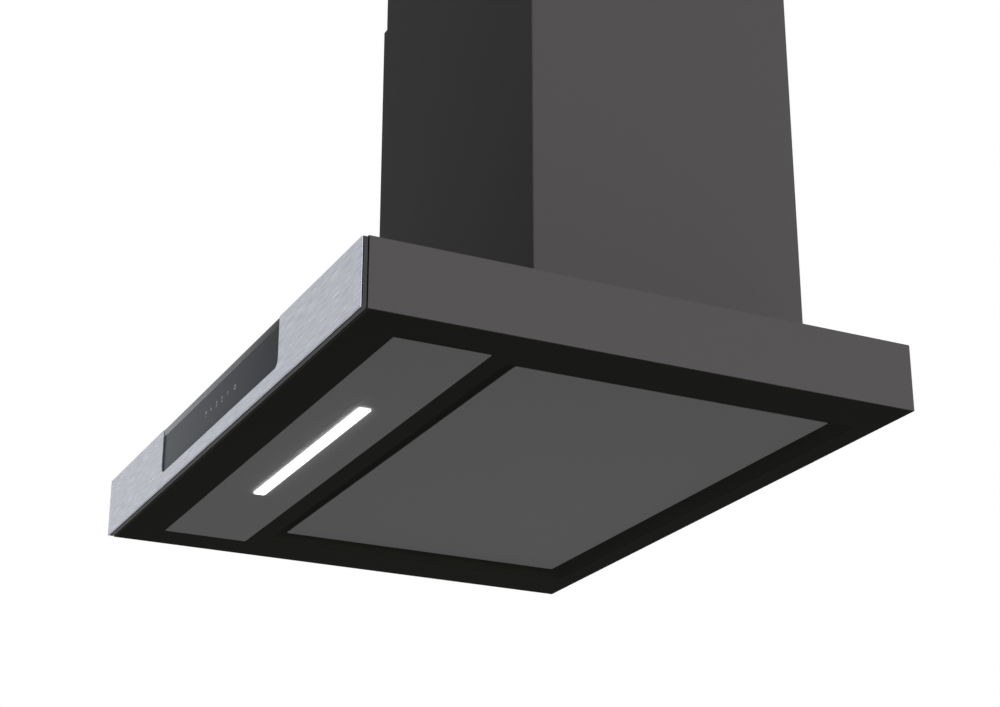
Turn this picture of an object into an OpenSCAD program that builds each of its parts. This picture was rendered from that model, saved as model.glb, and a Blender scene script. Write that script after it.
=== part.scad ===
// Wall-mounted chimney range hood with edge suction.
// Millimetres, +Z up. The wall is the plane y = 0 and the front faces -Y.
// The origin is on the wall, at mid-width, level with the underside.

/* [Canopy] */
// Width over the canopy's sides
canopy_w = 598; // [570:1:640]
// Depth from the wall to the face of the steel front
canopy_d = 460; // [450:1:520]
// Height of the canopy's sides
canopy_h = 55; // [54:1:70]
// Thickness of the folded canopy sheet
sheet_t = 1; // [0.8:0.1:1.2]
// Outer radius of the canopy's bends
canopy_bend_r = 1.6; // [1.4:0.1:3]

/* [Front] */
// Thickness of the brushed steel front
fascia_t = 1; // [0.8:0.1:1.2]
// Bevel along the steel's lower and side edges
fascia_bevel = 0.6; // [0.3:0.1:0.7]
// Height of the steel's lower edge above the underside
fascia_lift = 0.2; // [0:0.1:1]
// Step from the canopy's top down to the steel's upper edge
fascia_step = 2.5; // [1.5:0.1:4]
// Thickness of the bonding layer behind the steel
bond_t = 0.75; // [0.5:0.05:1.2]
// Distance from the steel's edge to the bonding layer
bond_inset = 1.2; // [0.8:0.1:3]
// Thickness of the moulded front carrier
carrier_t = 3; // [2.6:0.1:4]
// Corner radius of the front carrier
carrier_r = 2.2; // [1:0.1:4]
// Step from the canopy's top down to the carrier's top
carrier_step = 1; // [0.5:0.1:1.2]
// Gap between the carrier and the canopy, filled by the seal
seal_t = 1.15; // [0.8:0.05:2]
// Distance from the carrier's edge to the seal
seal_inset = 3; // [2:0.5:4]
// Width of the seal's band
seal_band = 4; // [3:0.5:5]

/* [Control glass] */
// Visible width of the glass
glass_w = 281.5; // [200:0.5:340]
// Height of the window's lower edge
glass_bottom = 12.5; // [10:0.5:18]
// Radius of the window's lower corners
window_r = 7; // [3:0.5:10]
// Thickness of the glass
glass_t = 2.5; // [2:0.1:2.7]
// Depth of the glass face behind the steel face
glass_recess = 1.5; // [1.2:0.1:1.7]
// Width of the glass hidden behind the steel
glass_lip = 2; // [1:0.5:4]
// Height of the bevel along the glass top
glass_bevel_h = 5.5; // [3:0.5:7]
// Depth of the bevel along the glass top
glass_bevel_d = 1.6; // [0.8:0.1:1.8]
// Number of touch fields
touch_count = 6; // [4:1:8]
// Distance between touch fields
touch_pitch = 13.5; // [11:0.5:16]

/* [Lamp] */
// Width of the lamp panel
lamp_w = 518.6; // [480:0.2:540]
// Depth of the lamp panel
lamp_d = 77; // [66:1:80]
// Distance from the hood's front to the lamp panel
lamp_front = 42; // [38:1:44]
// Length of the light strip
light_l = 236; // [180:1:300]
// Width of the light strip
light_w = 10.2; // [9:0.2:18]
// Corner radius of the light strip
light_r = 2; // [0.5:0.5:4]
// How far the light strip stands below the panel
light_drop = 1; // [0.6:0.1:2]

/* [Cover panel] */
// How much wider the hinged cover panel is than the pair of filters
cover_over_w = 11; // [8:1:24]
// How much deeper the hinged cover panel is than a filter
cover_over_d = 26; // [24:1:30]
// Distance from the wall to the cover's rear edge
cover_back = 34; // [30:1:36]
// Height of the cover's face above the underside
cover_recess = 5.6; // [3:0.2:6.4]
// Width of the suction gap around the cover
suction_gap = 14; // [13:0.5:16]
// Thickness of the cover's face sheet
skin_t = 1; // [0.8:0.1:1.2]
// Height of the tray that stiffens the cover
tray_h = 7; // [6:0.5:7.2]
// Corner radius of the cover
cover_r = 2; // [1:0.5:6]
// Distance from each side edge of the cover to its hinge
hinge_side = 34.5; // [26:0.5:60]
// Radius of the hinge pins
hinge_pin_r = 2; // [1.5:0.1:2.4]

/* [Filters] */
// Width of one grease filter
filter_w = 226; // [212:1:240]
// Depth of one grease filter
filter_d = 250; // [230:1:256]
// Thickness of the filter frames
filter_t = 9; // [8:0.5:11]
// Distance between the two filters
filter_space = 6; // [5:0.5:10]
// Width of a filter frame's bar
filter_bar = 12; // [10:0.5:16]
// Openings across one filter's mesh
mesh_across = 11; // [8:1:12]
// Openings along one filter's mesh
mesh_along = 11; // [8:1:12]
// Travel of a filter latch
latch_travel = 4.5; // [4:0.5:5]

/* [Chimney] */
// Width of the lower chimney cover
chimney_w = 320; // [318:1:340]
// Depth of the lower chimney cover
chimney_d = 256; // [254:1:280]
// Height of the lower chimney cover
lower_h = 453.7; // [420:0.1:480]
// Thickness of the chimney sheet
chimney_t = 1; // [0.8:0.1:1]
// Outer radius of the chimney's bends
chimney_bend_r = 1.6; // [1.2:0.1:3]
// Distance from the lower cover's face to the upper cover's face
upper_inset = 2; // [1.8:0.1:2.2]
// Length of the upper chimney cover
upper_len = 470; // [430:5:480]
// Height of the upper cover's top above the underside, as set here
overall_h = 720; // [700:5:760]
// Width of the covers' rear returns
return_w = 12; // [8:1:12]
// Number of vent slits on each side of the upper cover
vent_count = 8; // [4:1:10]

/* [Blower] */
// Radius of the blower wheel
wheel_r = 80; // [76:1:80]
// Width of the blower wheel
wheel_w = 110; // [100:1:116]
// Number of blades
blade_count = 36; // [24:1:44]
// Radial length of a blade
blade_l = 14; // [10:0.5:16]
// Growth of the spiral housing in each quarter turn
volute_growth = 12; // [10:0.5:12]
// Gap from the wheel to the start of the spiral
volute_gap = 2; // [2:0.5:3]
// Wall of the spiral housing
volute_t = 2; // [1.6:0.1:2]
// Radius of the motor
motor_r = 40; // [36:1:44]
// Radius of the motor shaft
shaft_r = 4; // [3:0.5:5]

/* [Outlet] */
// Outer radius of the duct collar
duct_r = 74.5; // [70:0.5:76]
// Height of the duct collar
duct_h = 50; // [46:1:56]
// Wall of the duct collar
duct_t = 1.5; // [1.2:0.1:2]
// Distance from the wall to the middle of the duct
duct_y = 100; // [96:1:110]
// Height of the adapter from the blower's outlet to the duct
adapter_h = 40; // [36:1:50]

/* [Wall fixing] */
// Width of the wall rail
rail_w = 220; // [190:5:240]
// Distance between the rail's screw holes
rail_pitch = 160; // [120:5:170]
// Radius of the rail's screw holes
rail_hole_r = 3.25; // [2.5:0.05:4]
// Distance between the frame's lower screw holes
lock_pitch = 220; // [180:5:240]
// Radius of the frame's lower screw holes
lock_hole_r = 3; // [2.5:0.1:3.5]

/* [Hidden] */

$fn = 64;
// Overrun of every cut past the face that it opens
over = 1;
// Gap between a moving part and what it passes
run_gap = 0.3;
// Radial clearance of a pin or shaft that turns
turn_gap = 0.08;
// Gap around a panel that drops into a frame
fit_gap = 0.4;
// Length of the cutters that pass right through a sheet
pierce = 12;
// Facets of the round ends of lofted shapes
loft_fn = 32;
// Facets of the blades' small arcs
blade_fn = 32;

// Planes of the front, from the steel's face back to the canopy's wall
fascia_y = -canopy_d;
bond_y = fascia_y + fascia_t;
carrier_y = bond_y + bond_t;
seal_y = carrier_y + carrier_t;
shell_y = seal_y + seal_t;
carrier_h = canopy_h - carrier_step;
fascia_h = canopy_h - fascia_step - fascia_lift;
glass_y = fascia_y + glass_recess;
glass_back_y = glass_y + glass_t;
glass_low = glass_bottom - glass_lip;
glass_top = canopy_h - fascia_step;
glass_room = 0.15;
board_t = 1.6;
board_inset = 6;
board_h = 20;
pad_r = 3.4;
plug_w = 13.5;
plug_h = 8.4;
plug_d = 4.8;
plug_side = 33.05;
plug_x = glass_w / 2 - plug_side;
plug_rise = 1.6;

// Screws
screw_r = 2;
screw_head_r = 3.6;
screw_head_h = 2.2;
front_screw_rise = canopy_h / 2;
front_screw_share = [-0.92, -0.6, 0.6, 0.92];
front_screw_l = 4.2;

// Underside: the frame's rims, the well and the shelf above it
rim_h = 12;
cover_w = 2 * filter_w + filter_space + cover_over_w;
cover_d = filter_d + cover_over_d;
well_w = cover_w + 2 * suction_gap;
well_d = cover_d + 2 * suction_gap;
well_r = 5;
well_h = 18;
well_y = -cover_back - cover_d / 2;
shelf_t = 1;
shelf_lip = 5;

// Lamp
lamp_y = -canopy_d + lamp_front + lamp_d / 2;
lamp_rim = 4;
lamp_r = 1;
diffuser_lip = 2.4;
diffuser_t = 2;
channel_t = 1.2;
channel_h = 12;
channel_foot = 6;
light_board_z = 6;
led_count = 18;
led_w = 3.5;
led_h = 0.9;
driver_l = 114;
driver_w = 36;
driver_r = 3;
driver_foot_l = 138;
driver_foot_w = 18;
driver_hole_pitch = 128;
driver_h = 20;
driver_side = 84;
driver_x = -canopy_w / 2 + driver_side;

// Cover: face, tray, hinges and catches
cover_y = well_y;
tray_z = cover_recess + skin_t;
tray_top = tray_z + tray_h;
tray_t = 0.8;
tray_inset = 0.8;
tray_hem = 6;
hinge_inset = 4;
hinge_x = cover_w / 2 - hinge_side;
hinge_y = -cover_back + hinge_inset;
hinge_z = 12;
ear_t = 2;
ear_r = 3.8;
ear_space = 2;
hinge_head_r = 3;
hinge_head_t = 1;
hinge_base_t = 1.5;
hinge_base_l = 14;
hinge_base_w = 16;
catch_side = 84.5;
catch_x = cover_w / 2 - catch_side;
catch_y = -cover_back - cover_d + tray_inset + tray_hem / 2;
catch_w = 14;
catch_d = 8;
catch_h = 3.2;
stud_r = 1;
stud_ball_r = 1.5;
stud_z = well_h - tray_t - stud_ball_r - run_gap;

// Filters
filter_clear = 1.5;
filter_x = (filter_w + filter_space) / 2;
filter_front = well_y - filter_d / 2;
filter_back = well_y + filter_d / 2;
filter_z = well_h;
filter_top = filter_z + filter_t;
filter_groove = 4;
filter_wall = 1;
filter_r = 3;
mesh_bar = 3.2;
mesh_w = filter_w - 2 * filter_wall - filter_bar;
mesh_d = filter_d - 2 * filter_wall - filter_bar;
tab_w = 30;
tab_l = 4;
tab_t = 1.5;
tab_z = well_h + shelf_t;
tab_share = 0.3;
latch_w = 30;
latch_l = 14;
latch_h = 5;
latch_wall = 4;
latch_z = filter_z + filter_wall + run_gap;
bolt_w = 16;
bolt_h = 2.4;
bolt_reach = 4;
grip_h = 3;
grip_t = 3;
latch_house_w = latch_w + 2 * latch_wall;
latch_house_l = latch_wall + latch_l + latch_travel + latch_wall;

// Chimney
lower_z = canopy_h;
lower_top = canopy_h + lower_h;
upper_w = chimney_w - 2 * upper_inset;
upper_d = chimney_d - upper_inset;
upper_bottom = overall_h - upper_len;
upper_in = upper_w / 2 - chimney_t;
foot_w = 9;
chimney_screw_share = [0.2, 0.8];
glide_t = upper_inset - chimney_t - run_gap;
glide_w = 24;
glide_h = 14;
glide_drop = 4;
glide_share = 0.7;
vent_l = 120;
vent_w = 3.5;
vent_pitch = 9;
vent_top = 62;
bracket_t = 1.5;
bracket_h = 30;
bracket_drop = 8;
bracket_reach = 22;
bracket_foot = 20;
bracket_hole_pitch = 120;
bracket_hole_r = 3;
bracket_gap = 2;
bracket_x = upper_in - return_w - bracket_gap;

// Blower box
box_t = 1;
box_side_room = 3;
box_w = 2 * (chimney_w / 2 - upper_inset - chimney_t - return_w - box_side_room);
box_front_room = 4;
box_front = -(chimney_d - upper_inset - chimney_t - box_front_room);
box_back = -1.5;
box_foot = 7;
volute_r = wheel_r + volute_gap;
volute_in = volute_r + volute_growth;
volute_low = volute_in + volute_growth;
volute_out = volute_low + volute_growth;
volute_room = 2;
axis_y = box_back - box_t - volute_room - volute_t - volute_out - volute_growth / 2;
volute_rise = 6;
axis_z = canopy_h + volute_rise + volute_t + volute_low + volute_growth / 2;
neck_in = wheel_r / 2;
neck_out = volute_out + volute_growth / 2;
neck_top = volute_out + volute_growth / 2;
box_top = axis_z + neck_top + box_t;
neck_flange = 6;
air_side = 12;

// Wheel
wheel_gap = 4;
scroll_half = wheel_w / 2 + wheel_gap;
blade_t = 1.2;
blade_bow_r = 9.5;
blade_tilt = 28;
ring_t = 2;
ring_out = 1;
disc_t = 2;
hub_r = 12;
hub_l = 20;
inlet_step = 4;
inlet_r = wheel_r - blade_l - inlet_step;
inlet_lip = 5;

// Motor, on the wheel's left side
motor_in = -14;
motor_stack = 23;
shield_l = 19;
motor_out = motor_in - 2 * shield_l - motor_stack;
shield_t = 2.5;
rotor_r = motor_r / 2;
air_gap = 0.5;
slot_count = 12;
slot_r = 3.2;
winding_l = 8;
winding_w = 8;
bearing_ring = 5;
bearing_r = shaft_r + bearing_ring;
bearing_l = 6;
shaft_end = 5;
shaft_out = motor_out - shaft_end;
shaft_over = 4;
shaft_in = hub_l / 2 + shaft_over;
spider_t = 4;
spider_band = 6;
spider_arm = 9;
spider_reach = 9;
spider_r = inlet_r + inlet_lip + spider_reach;
cooling_slot_count = 10;
cooling_slot_l = 13;

// Outlet
adapter_t = 2;
adapter_flange = 4.5;
adapter_z = box_top;
collar_z = box_top + adapter_h;
collar_flange = 7;
collar_flange_t = 2;
ledge_w = 3;
ledge_t = 1.5;
flap_rise = 16;
flap_z = collar_z + flap_rise;
flap_t = 1;
flap_room = 1.2;
flap_r = duct_r - duct_t - flap_room;
flap_pin_r = 1.5;
knuckle_r = 2.6;
knuckle_l = 16;
knuckle_near = 12;
knuckle_far = 36;
flap_root_gap = 0.8;
flap_root = knuckle_r + flap_root_gap;

// Electrical parts on the blower box
lid_t = 2;
lid_rib_count = 5;
lid_rib_pitch = 15;
lid_rib_l = 24;
ctrl_w = 48;
ctrl_d = 120;
ctrl_h = 34;
ctrl_wall = 2;
ctrl_side = 3;
ctrl_front = 13;
ctrl_x = box_w / 2 - ctrl_w / 2 - ctrl_side;
ctrl_y = box_front + ctrl_front + ctrl_d / 2;
gland_r = 9;
gland_bore_r = 4;
gland_l = 14;
gland_inside = 4;
gland_nut_r = 11;
gland_nut_l = 4;
cap_r = 15;
cap_h = 58;
cap_side = 34;
cap_front = 37;
cap_x = -box_w / 2 + cap_side;
cap_y = box_front + cap_front;
lead_w = 6;
lead_t = 3;
thin_lead_w = 4;
thin_lead_t = 2;
ribbon_w = 10;
ribbon_t = 1.2;
// Distance that a lead keeps from what it passes
lead_stand = 8;

// Rear frame and wall rail
frame_t = 1.5;
frame_w = box_w;
frame_rise = 62;
frame_top = box_top + frame_rise;
frame_foot = 12;
slot_gap = 0.5;
rail_t = 1.5;
rail_h = 26;
rail_hook = 7;
rail_rise = 30;
rail_z = box_top + rail_rise;
rail_channel = frame_t + slot_gap;
lock_z = 40;

// Shared shapes

// A block from its low corner to its high corner
module block(lo, hi) {
    translate(lo) cube(hi - lo);
}

// Children as drawn and mirrored to the other side
module both_sides() {
    children();
    mirror([1, 0, 0]) children();
}

// A drawing of x and z, carried from one y to a higher y
module along_y(from_y, to_y) {
    translate([0, to_y, 0]) rotate([90, 0, 0]) linear_extrude(to_y - from_y) children();
}

// A drawing of y and z, carried from one x to a higher x
module along_x(from_x, to_x) {
    translate([from_x, 0, 0]) rotate([90, 0, 90]) linear_extrude(to_x - from_x) children();
}

// A rectangle about the origin with round corners
module rounded(w, h, r) {
    square([w - 2 * r, h], center = true);
    square([w, h - 2 * r], center = true);
    for (x = [-1, 1], y = [-1, 1])
        translate([x * (w / 2 - r), y * (h / 2 - r)]) circle(r);
}

// A round-cornered frame of a given band
module ring_frame(w, h, r, band) {
    difference() {
        rounded(w, h, r);
        square([w - 2 * band, h - 2 * band], center = true);
    }
}

// A sheet bent over at its two upper corners, as a filled outline
module bent(w, h, r) {
    translate([-w / 2, 0]) square([w, h - r]);
    translate([r - w / 2, 0]) square([w - 2 * r, h]);
    for (x = [-1, 1])
        translate([x * (w / 2 - r), h - r]) circle(r);
}

// The same sheet, hollow and open below
module bent_sheet(w, h, r, t) {
    difference() {
        bent(w, h, r);
        translate([0, -over]) bent(w - 2 * t, h - t + over, r - t);
    }
}

// A screw with a domed head, its head's seat at the origin, its shank down
module screw(l) {
    translate([0, 0, -l]) cylinder(h = l, r = screw_r);
    rotate_extrude() intersection() {
        translate([0, screw_head_h - screw_head_r * 2]) circle(screw_head_r * 2);
        square([screw_head_r, screw_head_h]);
    }
}

// Outline of a flat lead, seen edge on, along a list of points
module lead_path(points, t) {
    for (i = [0:len(points) - 2]) {
        step = points[i + 1] - points[i];
        translate(points[i]) rotate(atan2(step.y, step.x))
            translate([0, -t / 2]) square([norm(step), t]);
        if (i > 0) translate(points[i]) circle(t / 2);
    }
}

// Canopy

// The outline of the front's window, open at the top
module window(w, low, r, top) {
    h = top - low;
    translate([0, low + h]) square([w, 2 * (h - r)], center = true);
    translate([0, low + h / 2]) rounded(w, h, r);
}

module canopy_shell() {
    inner = canopy_w / 2 - sheet_t;
    color("#575554") difference() {
        union() {
            along_y(shell_y, 0) bent_sheet(canopy_w, canopy_h, canopy_bend_r, sheet_t);
            block([-inner, -sheet_t, 0], [inner, 0, canopy_h - sheet_t]);
            block([-inner, shell_y, 0], [inner, shell_y + sheet_t, canopy_h - sheet_t]);
        }
        // Air way up to the blower
        block([-box_w / 2 + air_side, box_front + air_side, canopy_h - sheet_t - over],
              [box_w / 2 - air_side, box_back - frame_foot - air_side / 2, canopy_h + over]);
        // Room for the touch board
        block([-glass_w / 2 + board_inset, shell_y - over, glass_bottom + board_inset / 2],
              [glass_w / 2 - board_inset, shell_y + sheet_t + over, glass_bottom + board_h + board_inset]);
        front_screw_places() cylinder(h = pierce, r = screw_r, center = true);
        chimney_screw_places() cylinder(h = pierce, r = screw_r, center = true);
        lock_holes();
    }
}

module lock_holes() {
    both_sides() translate([lock_pitch / 2, 0, lock_z]) rotate([90, 0, 0])
        cylinder(h = pierce, r = lock_hole_r, center = true);
}

module front_screw_places() {
    for (share = front_screw_share)
        translate([share * canopy_w / 2, shell_y + sheet_t, front_screw_rise])
            rotate([-90, 0, 0]) children();
}

module bottom_frame() {
    inner = canopy_w - 2 * sheet_t;
    depth = -shell_y - 2 * sheet_t;
    middle = (shell_y) / 2;
    color("#1a1a17") {
        linear_extrude(sheet_t) difference() {
            translate([0, middle]) square([inner, depth], center = true);
            translate([0, lamp_y]) square([lamp_w + 2 * fit_gap, lamp_d + 2 * fit_gap], center = true);
            translate([0, well_y]) rounded(well_w, well_d, well_r);
        }
        // Outer rim, folded up inside the canopy
        translate([0, middle, 0]) linear_extrude(rim_h) ring_frame(inner, depth, 0, sheet_t);
        // Wall of the well around the cover
        translate([0, well_y, 0]) linear_extrude(well_h) difference() {
            rounded(well_w + 2 * sheet_t, well_d + 2 * sheet_t, well_r + sheet_t);
            rounded(well_w, well_d, well_r);
        }
    }
}

module filter_shelf() {
    color("#232321") translate([0, well_y, well_h]) linear_extrude(shelf_t) difference() {
        rounded(well_w + 2 * shelf_lip, well_d + 2 * shelf_lip, well_r + shelf_lip);
        for (side = [-1, 1])
            translate([side * filter_x, 0])
                rounded(filter_w + 2 * filter_clear, filter_d + 2 * filter_clear, filter_r + filter_clear);
    }
}

// Front

module front_carrier() {
    room = glass_lip + glass_room;
    low = glass_low - glass_room;
    board_room = board_h + board_inset / 2;
    color("#535152") difference() {
        along_y(carrier_y, seal_y)
            translate([0, carrier_h / 2]) rounded(canopy_w, carrier_h, carrier_r);
        // Pocket for the glass, open at the top, and the hole behind it for the touch board
        along_y(carrier_y - over, glass_back_y)
            translate([0, low + canopy_h / 2])
                square([glass_w + 2 * room, canopy_h], center = true);
        along_y(glass_back_y - over, seal_y + over)
            translate([0, glass_bottom + board_inset / 2 + board_h / 2])
                square([glass_w - board_inset, board_room], center = true);
        front_screw_places()
            translate([0, 0, -front_screw_l]) cylinder(h = front_screw_l + over, r = screw_r);
    }
}

module front_seal() {
    color("#161616") along_y(seal_y, shell_y) translate([0, carrier_h / 2])
        ring_frame(canopy_w - 2 * seal_inset, carrier_h - 2 * seal_inset, 0, seal_band);
}

module fascia_bond() {
    low = fascia_lift + bond_inset;
    high = fascia_h - 2 * bond_inset;
    color("#242426") along_y(bond_y, carrier_y) difference() {
        translate([0, low + high / 2]) square([canopy_w - 2 * bond_inset, high], center = true);
        window(glass_w + 2 * glass_lip + 2 * glass_room, glass_low - glass_room, glass_room, canopy_h);
    }
}

module fascia_steel() {
    cut = fascia_bevel * sqrt(2);
    color("#b0b2b8") difference() {
        along_y(fascia_y, bond_y) difference() {
            translate([0, fascia_lift + fascia_h / 2]) square([canopy_w, fascia_h], center = true);
            window(glass_w, glass_bottom, window_r, canopy_h);
        }
        // Bevels that catch the light
        for (side = [-1, 1])
            translate([side * canopy_w / 2, fascia_y, canopy_h / 2]) rotate([0, 0, 45])
                cube([cut, cut, 2 * canopy_h], center = true);
        translate([0, fascia_y, fascia_lift]) rotate([45, 0, 0])
            cube([canopy_w + over, cut, cut], center = true);
    }
}

module front_screws() {
    color("#8f9092") front_screw_places() screw(front_screw_l);
}

module control_glass() {
    half = glass_w / 2 + glass_lip;
    color("#3d4144") along_x(-half, half) polygon([
        [glass_y, glass_low],
        [glass_y, glass_top - glass_bevel_h],
        [glass_y + glass_bevel_d, glass_top],
        [glass_back_y, glass_top],
        [glass_back_y, glass_low]
    ]);
}

module touch_board() {
    half = glass_w / 2 - board_inset;
    low = glass_bottom + board_inset / 2;
    back = glass_back_y + board_t;
    color("#1f4a33") block([-half, glass_back_y, low], [half, back, low + board_h]);
    // Springs under the touch fields
    color("#d8d8d2") for (i = [0:touch_count - 1])
        translate([(i - (touch_count - 1) / 2) * touch_pitch, back, low + board_h / 2])
            rotate([-90, 0, 0]) cylinder(h = board_t, r = pad_r);
    // Plug of the lead
    color("#2a2a2a") block([plug_x, back, low + plug_rise],
                           [plug_x + plug_w, back + plug_d, low + plug_rise + plug_h]);
}

// Lamp

module lamp_panel() {
    color("#505050") translate([0, lamp_y, 0]) {
        linear_extrude(sheet_t) difference() {
            rounded(lamp_w, lamp_d, lamp_r);
            rounded(light_l + 2 * fit_gap, light_w + 2 * fit_gap, light_r);
        }
        // Rim that rests on the frame
        translate([0, 0, sheet_t]) linear_extrude(sheet_t)
            ring_frame(lamp_w + 2 * lamp_rim, lamp_d + 2 * lamp_rim, lamp_r, 2 * lamp_rim);
    }
}

module light_diffuser() {
    lip = 2 * diffuser_lip;
    color("#ffffff") translate([0, lamp_y, -light_drop]) {
        linear_extrude(light_drop + sheet_t) rounded(light_l, light_w, light_r);
        translate([0, 0, light_drop + sheet_t])
            linear_extrude(diffuser_t) rounded(light_l + lip, light_w + lip, light_r);
    }
}

module light_channel() {
    half = light_l / 2 + diffuser_lip + channel_t;
    inner = light_w / 2 + diffuser_lip + fit_gap;
    color("#b9babb") translate([0, lamp_y, sheet_t]) along_x(-half, half) {
        for (side = [0, 1]) mirror([side, 0]) {
            translate([inner, 0]) square([channel_t, channel_h]);
            translate([inner, 0]) square([channel_t + channel_foot, channel_t]);
            // Ledge that holds the board
            translate([inner - channel_t, light_board_z - sheet_t - channel_t]) square(channel_t);
            translate([0, channel_h - channel_t]) square([inner + channel_t, channel_t]);
        }
    }
}

module light_board() {
    half_w = light_w / 2 + diffuser_lip - fit_gap / 2;
    pitch = light_l / led_count;
    translate([0, lamp_y, light_board_z]) {
        color("#e9e9e6") block([-light_l / 2, -half_w, 0], [light_l / 2, half_w, board_t]);
        color("#f3e7a0") for (i = [0:led_count - 1])
            translate([(i - (led_count - 1) / 2) * pitch, 0, -led_h / 2])
                cube([led_w, led_w, led_h], center = true);
    }
}

module lamp_driver() {
    top = canopy_h - sheet_t;
    color("#e4e4e0") {
        translate([driver_x, lamp_y, top - driver_h])
            linear_extrude(driver_h) rounded(driver_l, driver_w, driver_r);
        translate([driver_x, lamp_y, top - lid_t]) linear_extrude(lid_t) difference() {
            rounded(driver_foot_l, driver_foot_w, driver_r);
            for (side = [-1, 1]) translate([side * driver_hole_pitch / 2, 0]) circle(screw_r);
        }
    }
}

// Cover panel, hinged at its rear edge

module cover_skin() {
    color("#505050") translate([0, cover_y, cover_recess])
        linear_extrude(skin_t) rounded(cover_w, cover_d, cover_r);
}

module cover_tray() {
    w = cover_w - 2 * tray_inset;
    d = cover_d - 2 * tray_inset;
    color("#1c1c1a") {
        translate([0, cover_y, tray_z]) {
            linear_extrude(tray_t) rounded(w, d, cover_r);
            linear_extrude(tray_h) difference() {
                rounded(w, d, cover_r);
                square([w - 2 * tray_t, d - 2 * tray_t], center = true);
            }
            translate([0, 0, tray_h - tray_t]) linear_extrude(tray_t) ring_frame(w, d, cover_r, tray_hem);
        }
        both_sides() cover_ear();
    }
}

// One hinge ear on the tray's rear wall, with its pin hole
module cover_ear() {
    root = -cover_back - tray_inset;
    along_x(hinge_x - ear_t, hinge_x) difference() {
        union() {
            translate([hinge_y, hinge_z]) circle(ear_r);
            translate([root, tray_z]) square([hinge_y - root, hinge_z + ear_r - tray_z]);
        }
        translate([hinge_y, hinge_z]) circle(hinge_pin_r);
    }
}

module hinge_pins() {
    start = hinge_x - ear_t;
    finish = hinge_x + ear_space + ear_t + hinge_head_t;
    color("#a9aaac") both_sides() translate([0, hinge_y, hinge_z]) rotate([0, 90, 0]) {
        translate([0, 0, start]) cylinder(h = finish - start, r = hinge_pin_r);
        translate([0, 0, start - hinge_head_t]) cylinder(h = hinge_head_t, r = hinge_head_r);
    }
}

module hinge_brackets() {
    ear_x = hinge_x + ear_space;
    color("#97989a") both_sides() {
        along_x(ear_x, ear_x + ear_t) difference() {
            union() {
                translate([hinge_y, hinge_z]) circle(ear_r);
                translate([hinge_y - ear_r, hinge_z]) square([2 * ear_r, well_h - hinge_z]);
            }
            translate([hinge_y, hinge_z]) circle(hinge_pin_r + turn_gap);
        }
        block([ear_x, hinge_y - hinge_base_w / 2, well_h - hinge_base_t],
              [ear_x + hinge_base_l, hinge_y + hinge_base_w / 2, well_h]);
    }
}

module catch_studs() {
    base = tray_top - tray_t;
    color("#b4b5b7") both_sides() translate([catch_x, catch_y, 0]) {
        translate([0, 0, tray_top]) cylinder(h = stud_z - tray_top, r = stud_r);
        translate([0, 0, stud_z]) sphere(stud_ball_r);
    }
}

module cover_catches() {
    slot = 2 * (stud_ball_r + run_gap);
    color("#d9d9d4") both_sides() translate([catch_x, catch_y, 0]) difference() {
        block([-catch_w / 2, -catch_d / 2, well_h - catch_h], [catch_w / 2, catch_d / 2, well_h]);
        translate([0, 0, well_h - tray_t - catch_h / 2])
            cube([slot, catch_d + over, catch_h], center = true);
    }
}

// Grease filters. side is -1 for the left one and 1 for the right one.

module filter_frame(side) {
    front = filter_front;
    start = front + latch_wall;
    finish = start + latch_l + latch_travel;
    color("#b6b8ba") translate([side * filter_x, 0, 0]) difference() {
        union() {
            translate([0, well_y, filter_z])
                linear_extrude(filter_t) ring_frame(filter_w, filter_d, filter_r, filter_bar);
            // Housing of the latch in the front bar
            block([-latch_house_w / 2, front, filter_z],
                  [latch_house_w / 2, front + latch_house_l, filter_top]);
            // Tabs that hook over the shelf at the rear
            for (place = [-1, 1])
                translate([place * tab_share * filter_w, filter_back + tab_l / 2, tab_z + tab_t / 2])
                    cube([tab_w, 2 * tab_l, tab_t], center = true);
        }
        // Groove for the mesh
        translate([0, well_y, filter_z + (filter_t - filter_groove) / 2])
            linear_extrude(filter_groove) mesh_outline();
        // Room of the latch, the slot for its grip below and the bolt's way out
        block([-latch_w / 2 - run_gap, start, latch_z - run_gap],
              [latch_w / 2 + run_gap, finish, latch_z + latch_h + run_gap]);
        block([-bolt_w / 2 - run_gap, start + latch_l / 2 - run_gap, filter_z - over],
              [bolt_w / 2 + run_gap, finish, latch_z]);
        block([-bolt_w / 2 - run_gap, front - over, latch_z - run_gap],
              [bolt_w / 2 + run_gap, start + over, latch_z + bolt_h + run_gap]);
    }
}

// Outline of the mesh, cut back around the latch's housing
module mesh_outline() {
    difference() {
        square([mesh_w, mesh_d], center = true);
        translate([0, -filter_d / 2 + latch_house_l / 2])
            square([latch_house_w, latch_house_l], center = true);
    }
}

module filter_frame_left() { filter_frame(-1); }
module filter_frame_right() { filter_frame(1); }

module filter_mesh(side) {
    step_x = (mesh_w - filter_bar) / mesh_across;
    step_y = (mesh_d - latch_house_l) / mesh_along;
    shift_y = (latch_house_l - filter_bar) / 2;
    bottom = filter_z + (filter_t - filter_groove) / 2;
    color("#c9cbcd") translate([side * filter_x, well_y, bottom])
        linear_extrude(filter_groove) difference() {
            mesh_outline();
            for (i = [0:mesh_across - 1], j = [0:mesh_along - 1])
                translate([(i - (mesh_across - 1) / 2) * step_x,
                           (j - (mesh_along - 1) / 2) * step_y + shift_y])
                    diamond(step_x - mesh_bar, step_y - mesh_bar);
        }
}

// One opening of the expanded mesh
module diamond(w, h) {
    polygon([[-w / 2, 0], [0, -h / 2], [w / 2, 0], [0, h / 2]]);
}

module filter_mesh_left() { filter_mesh(-1); }
module filter_mesh_right() { filter_mesh(1); }

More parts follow.
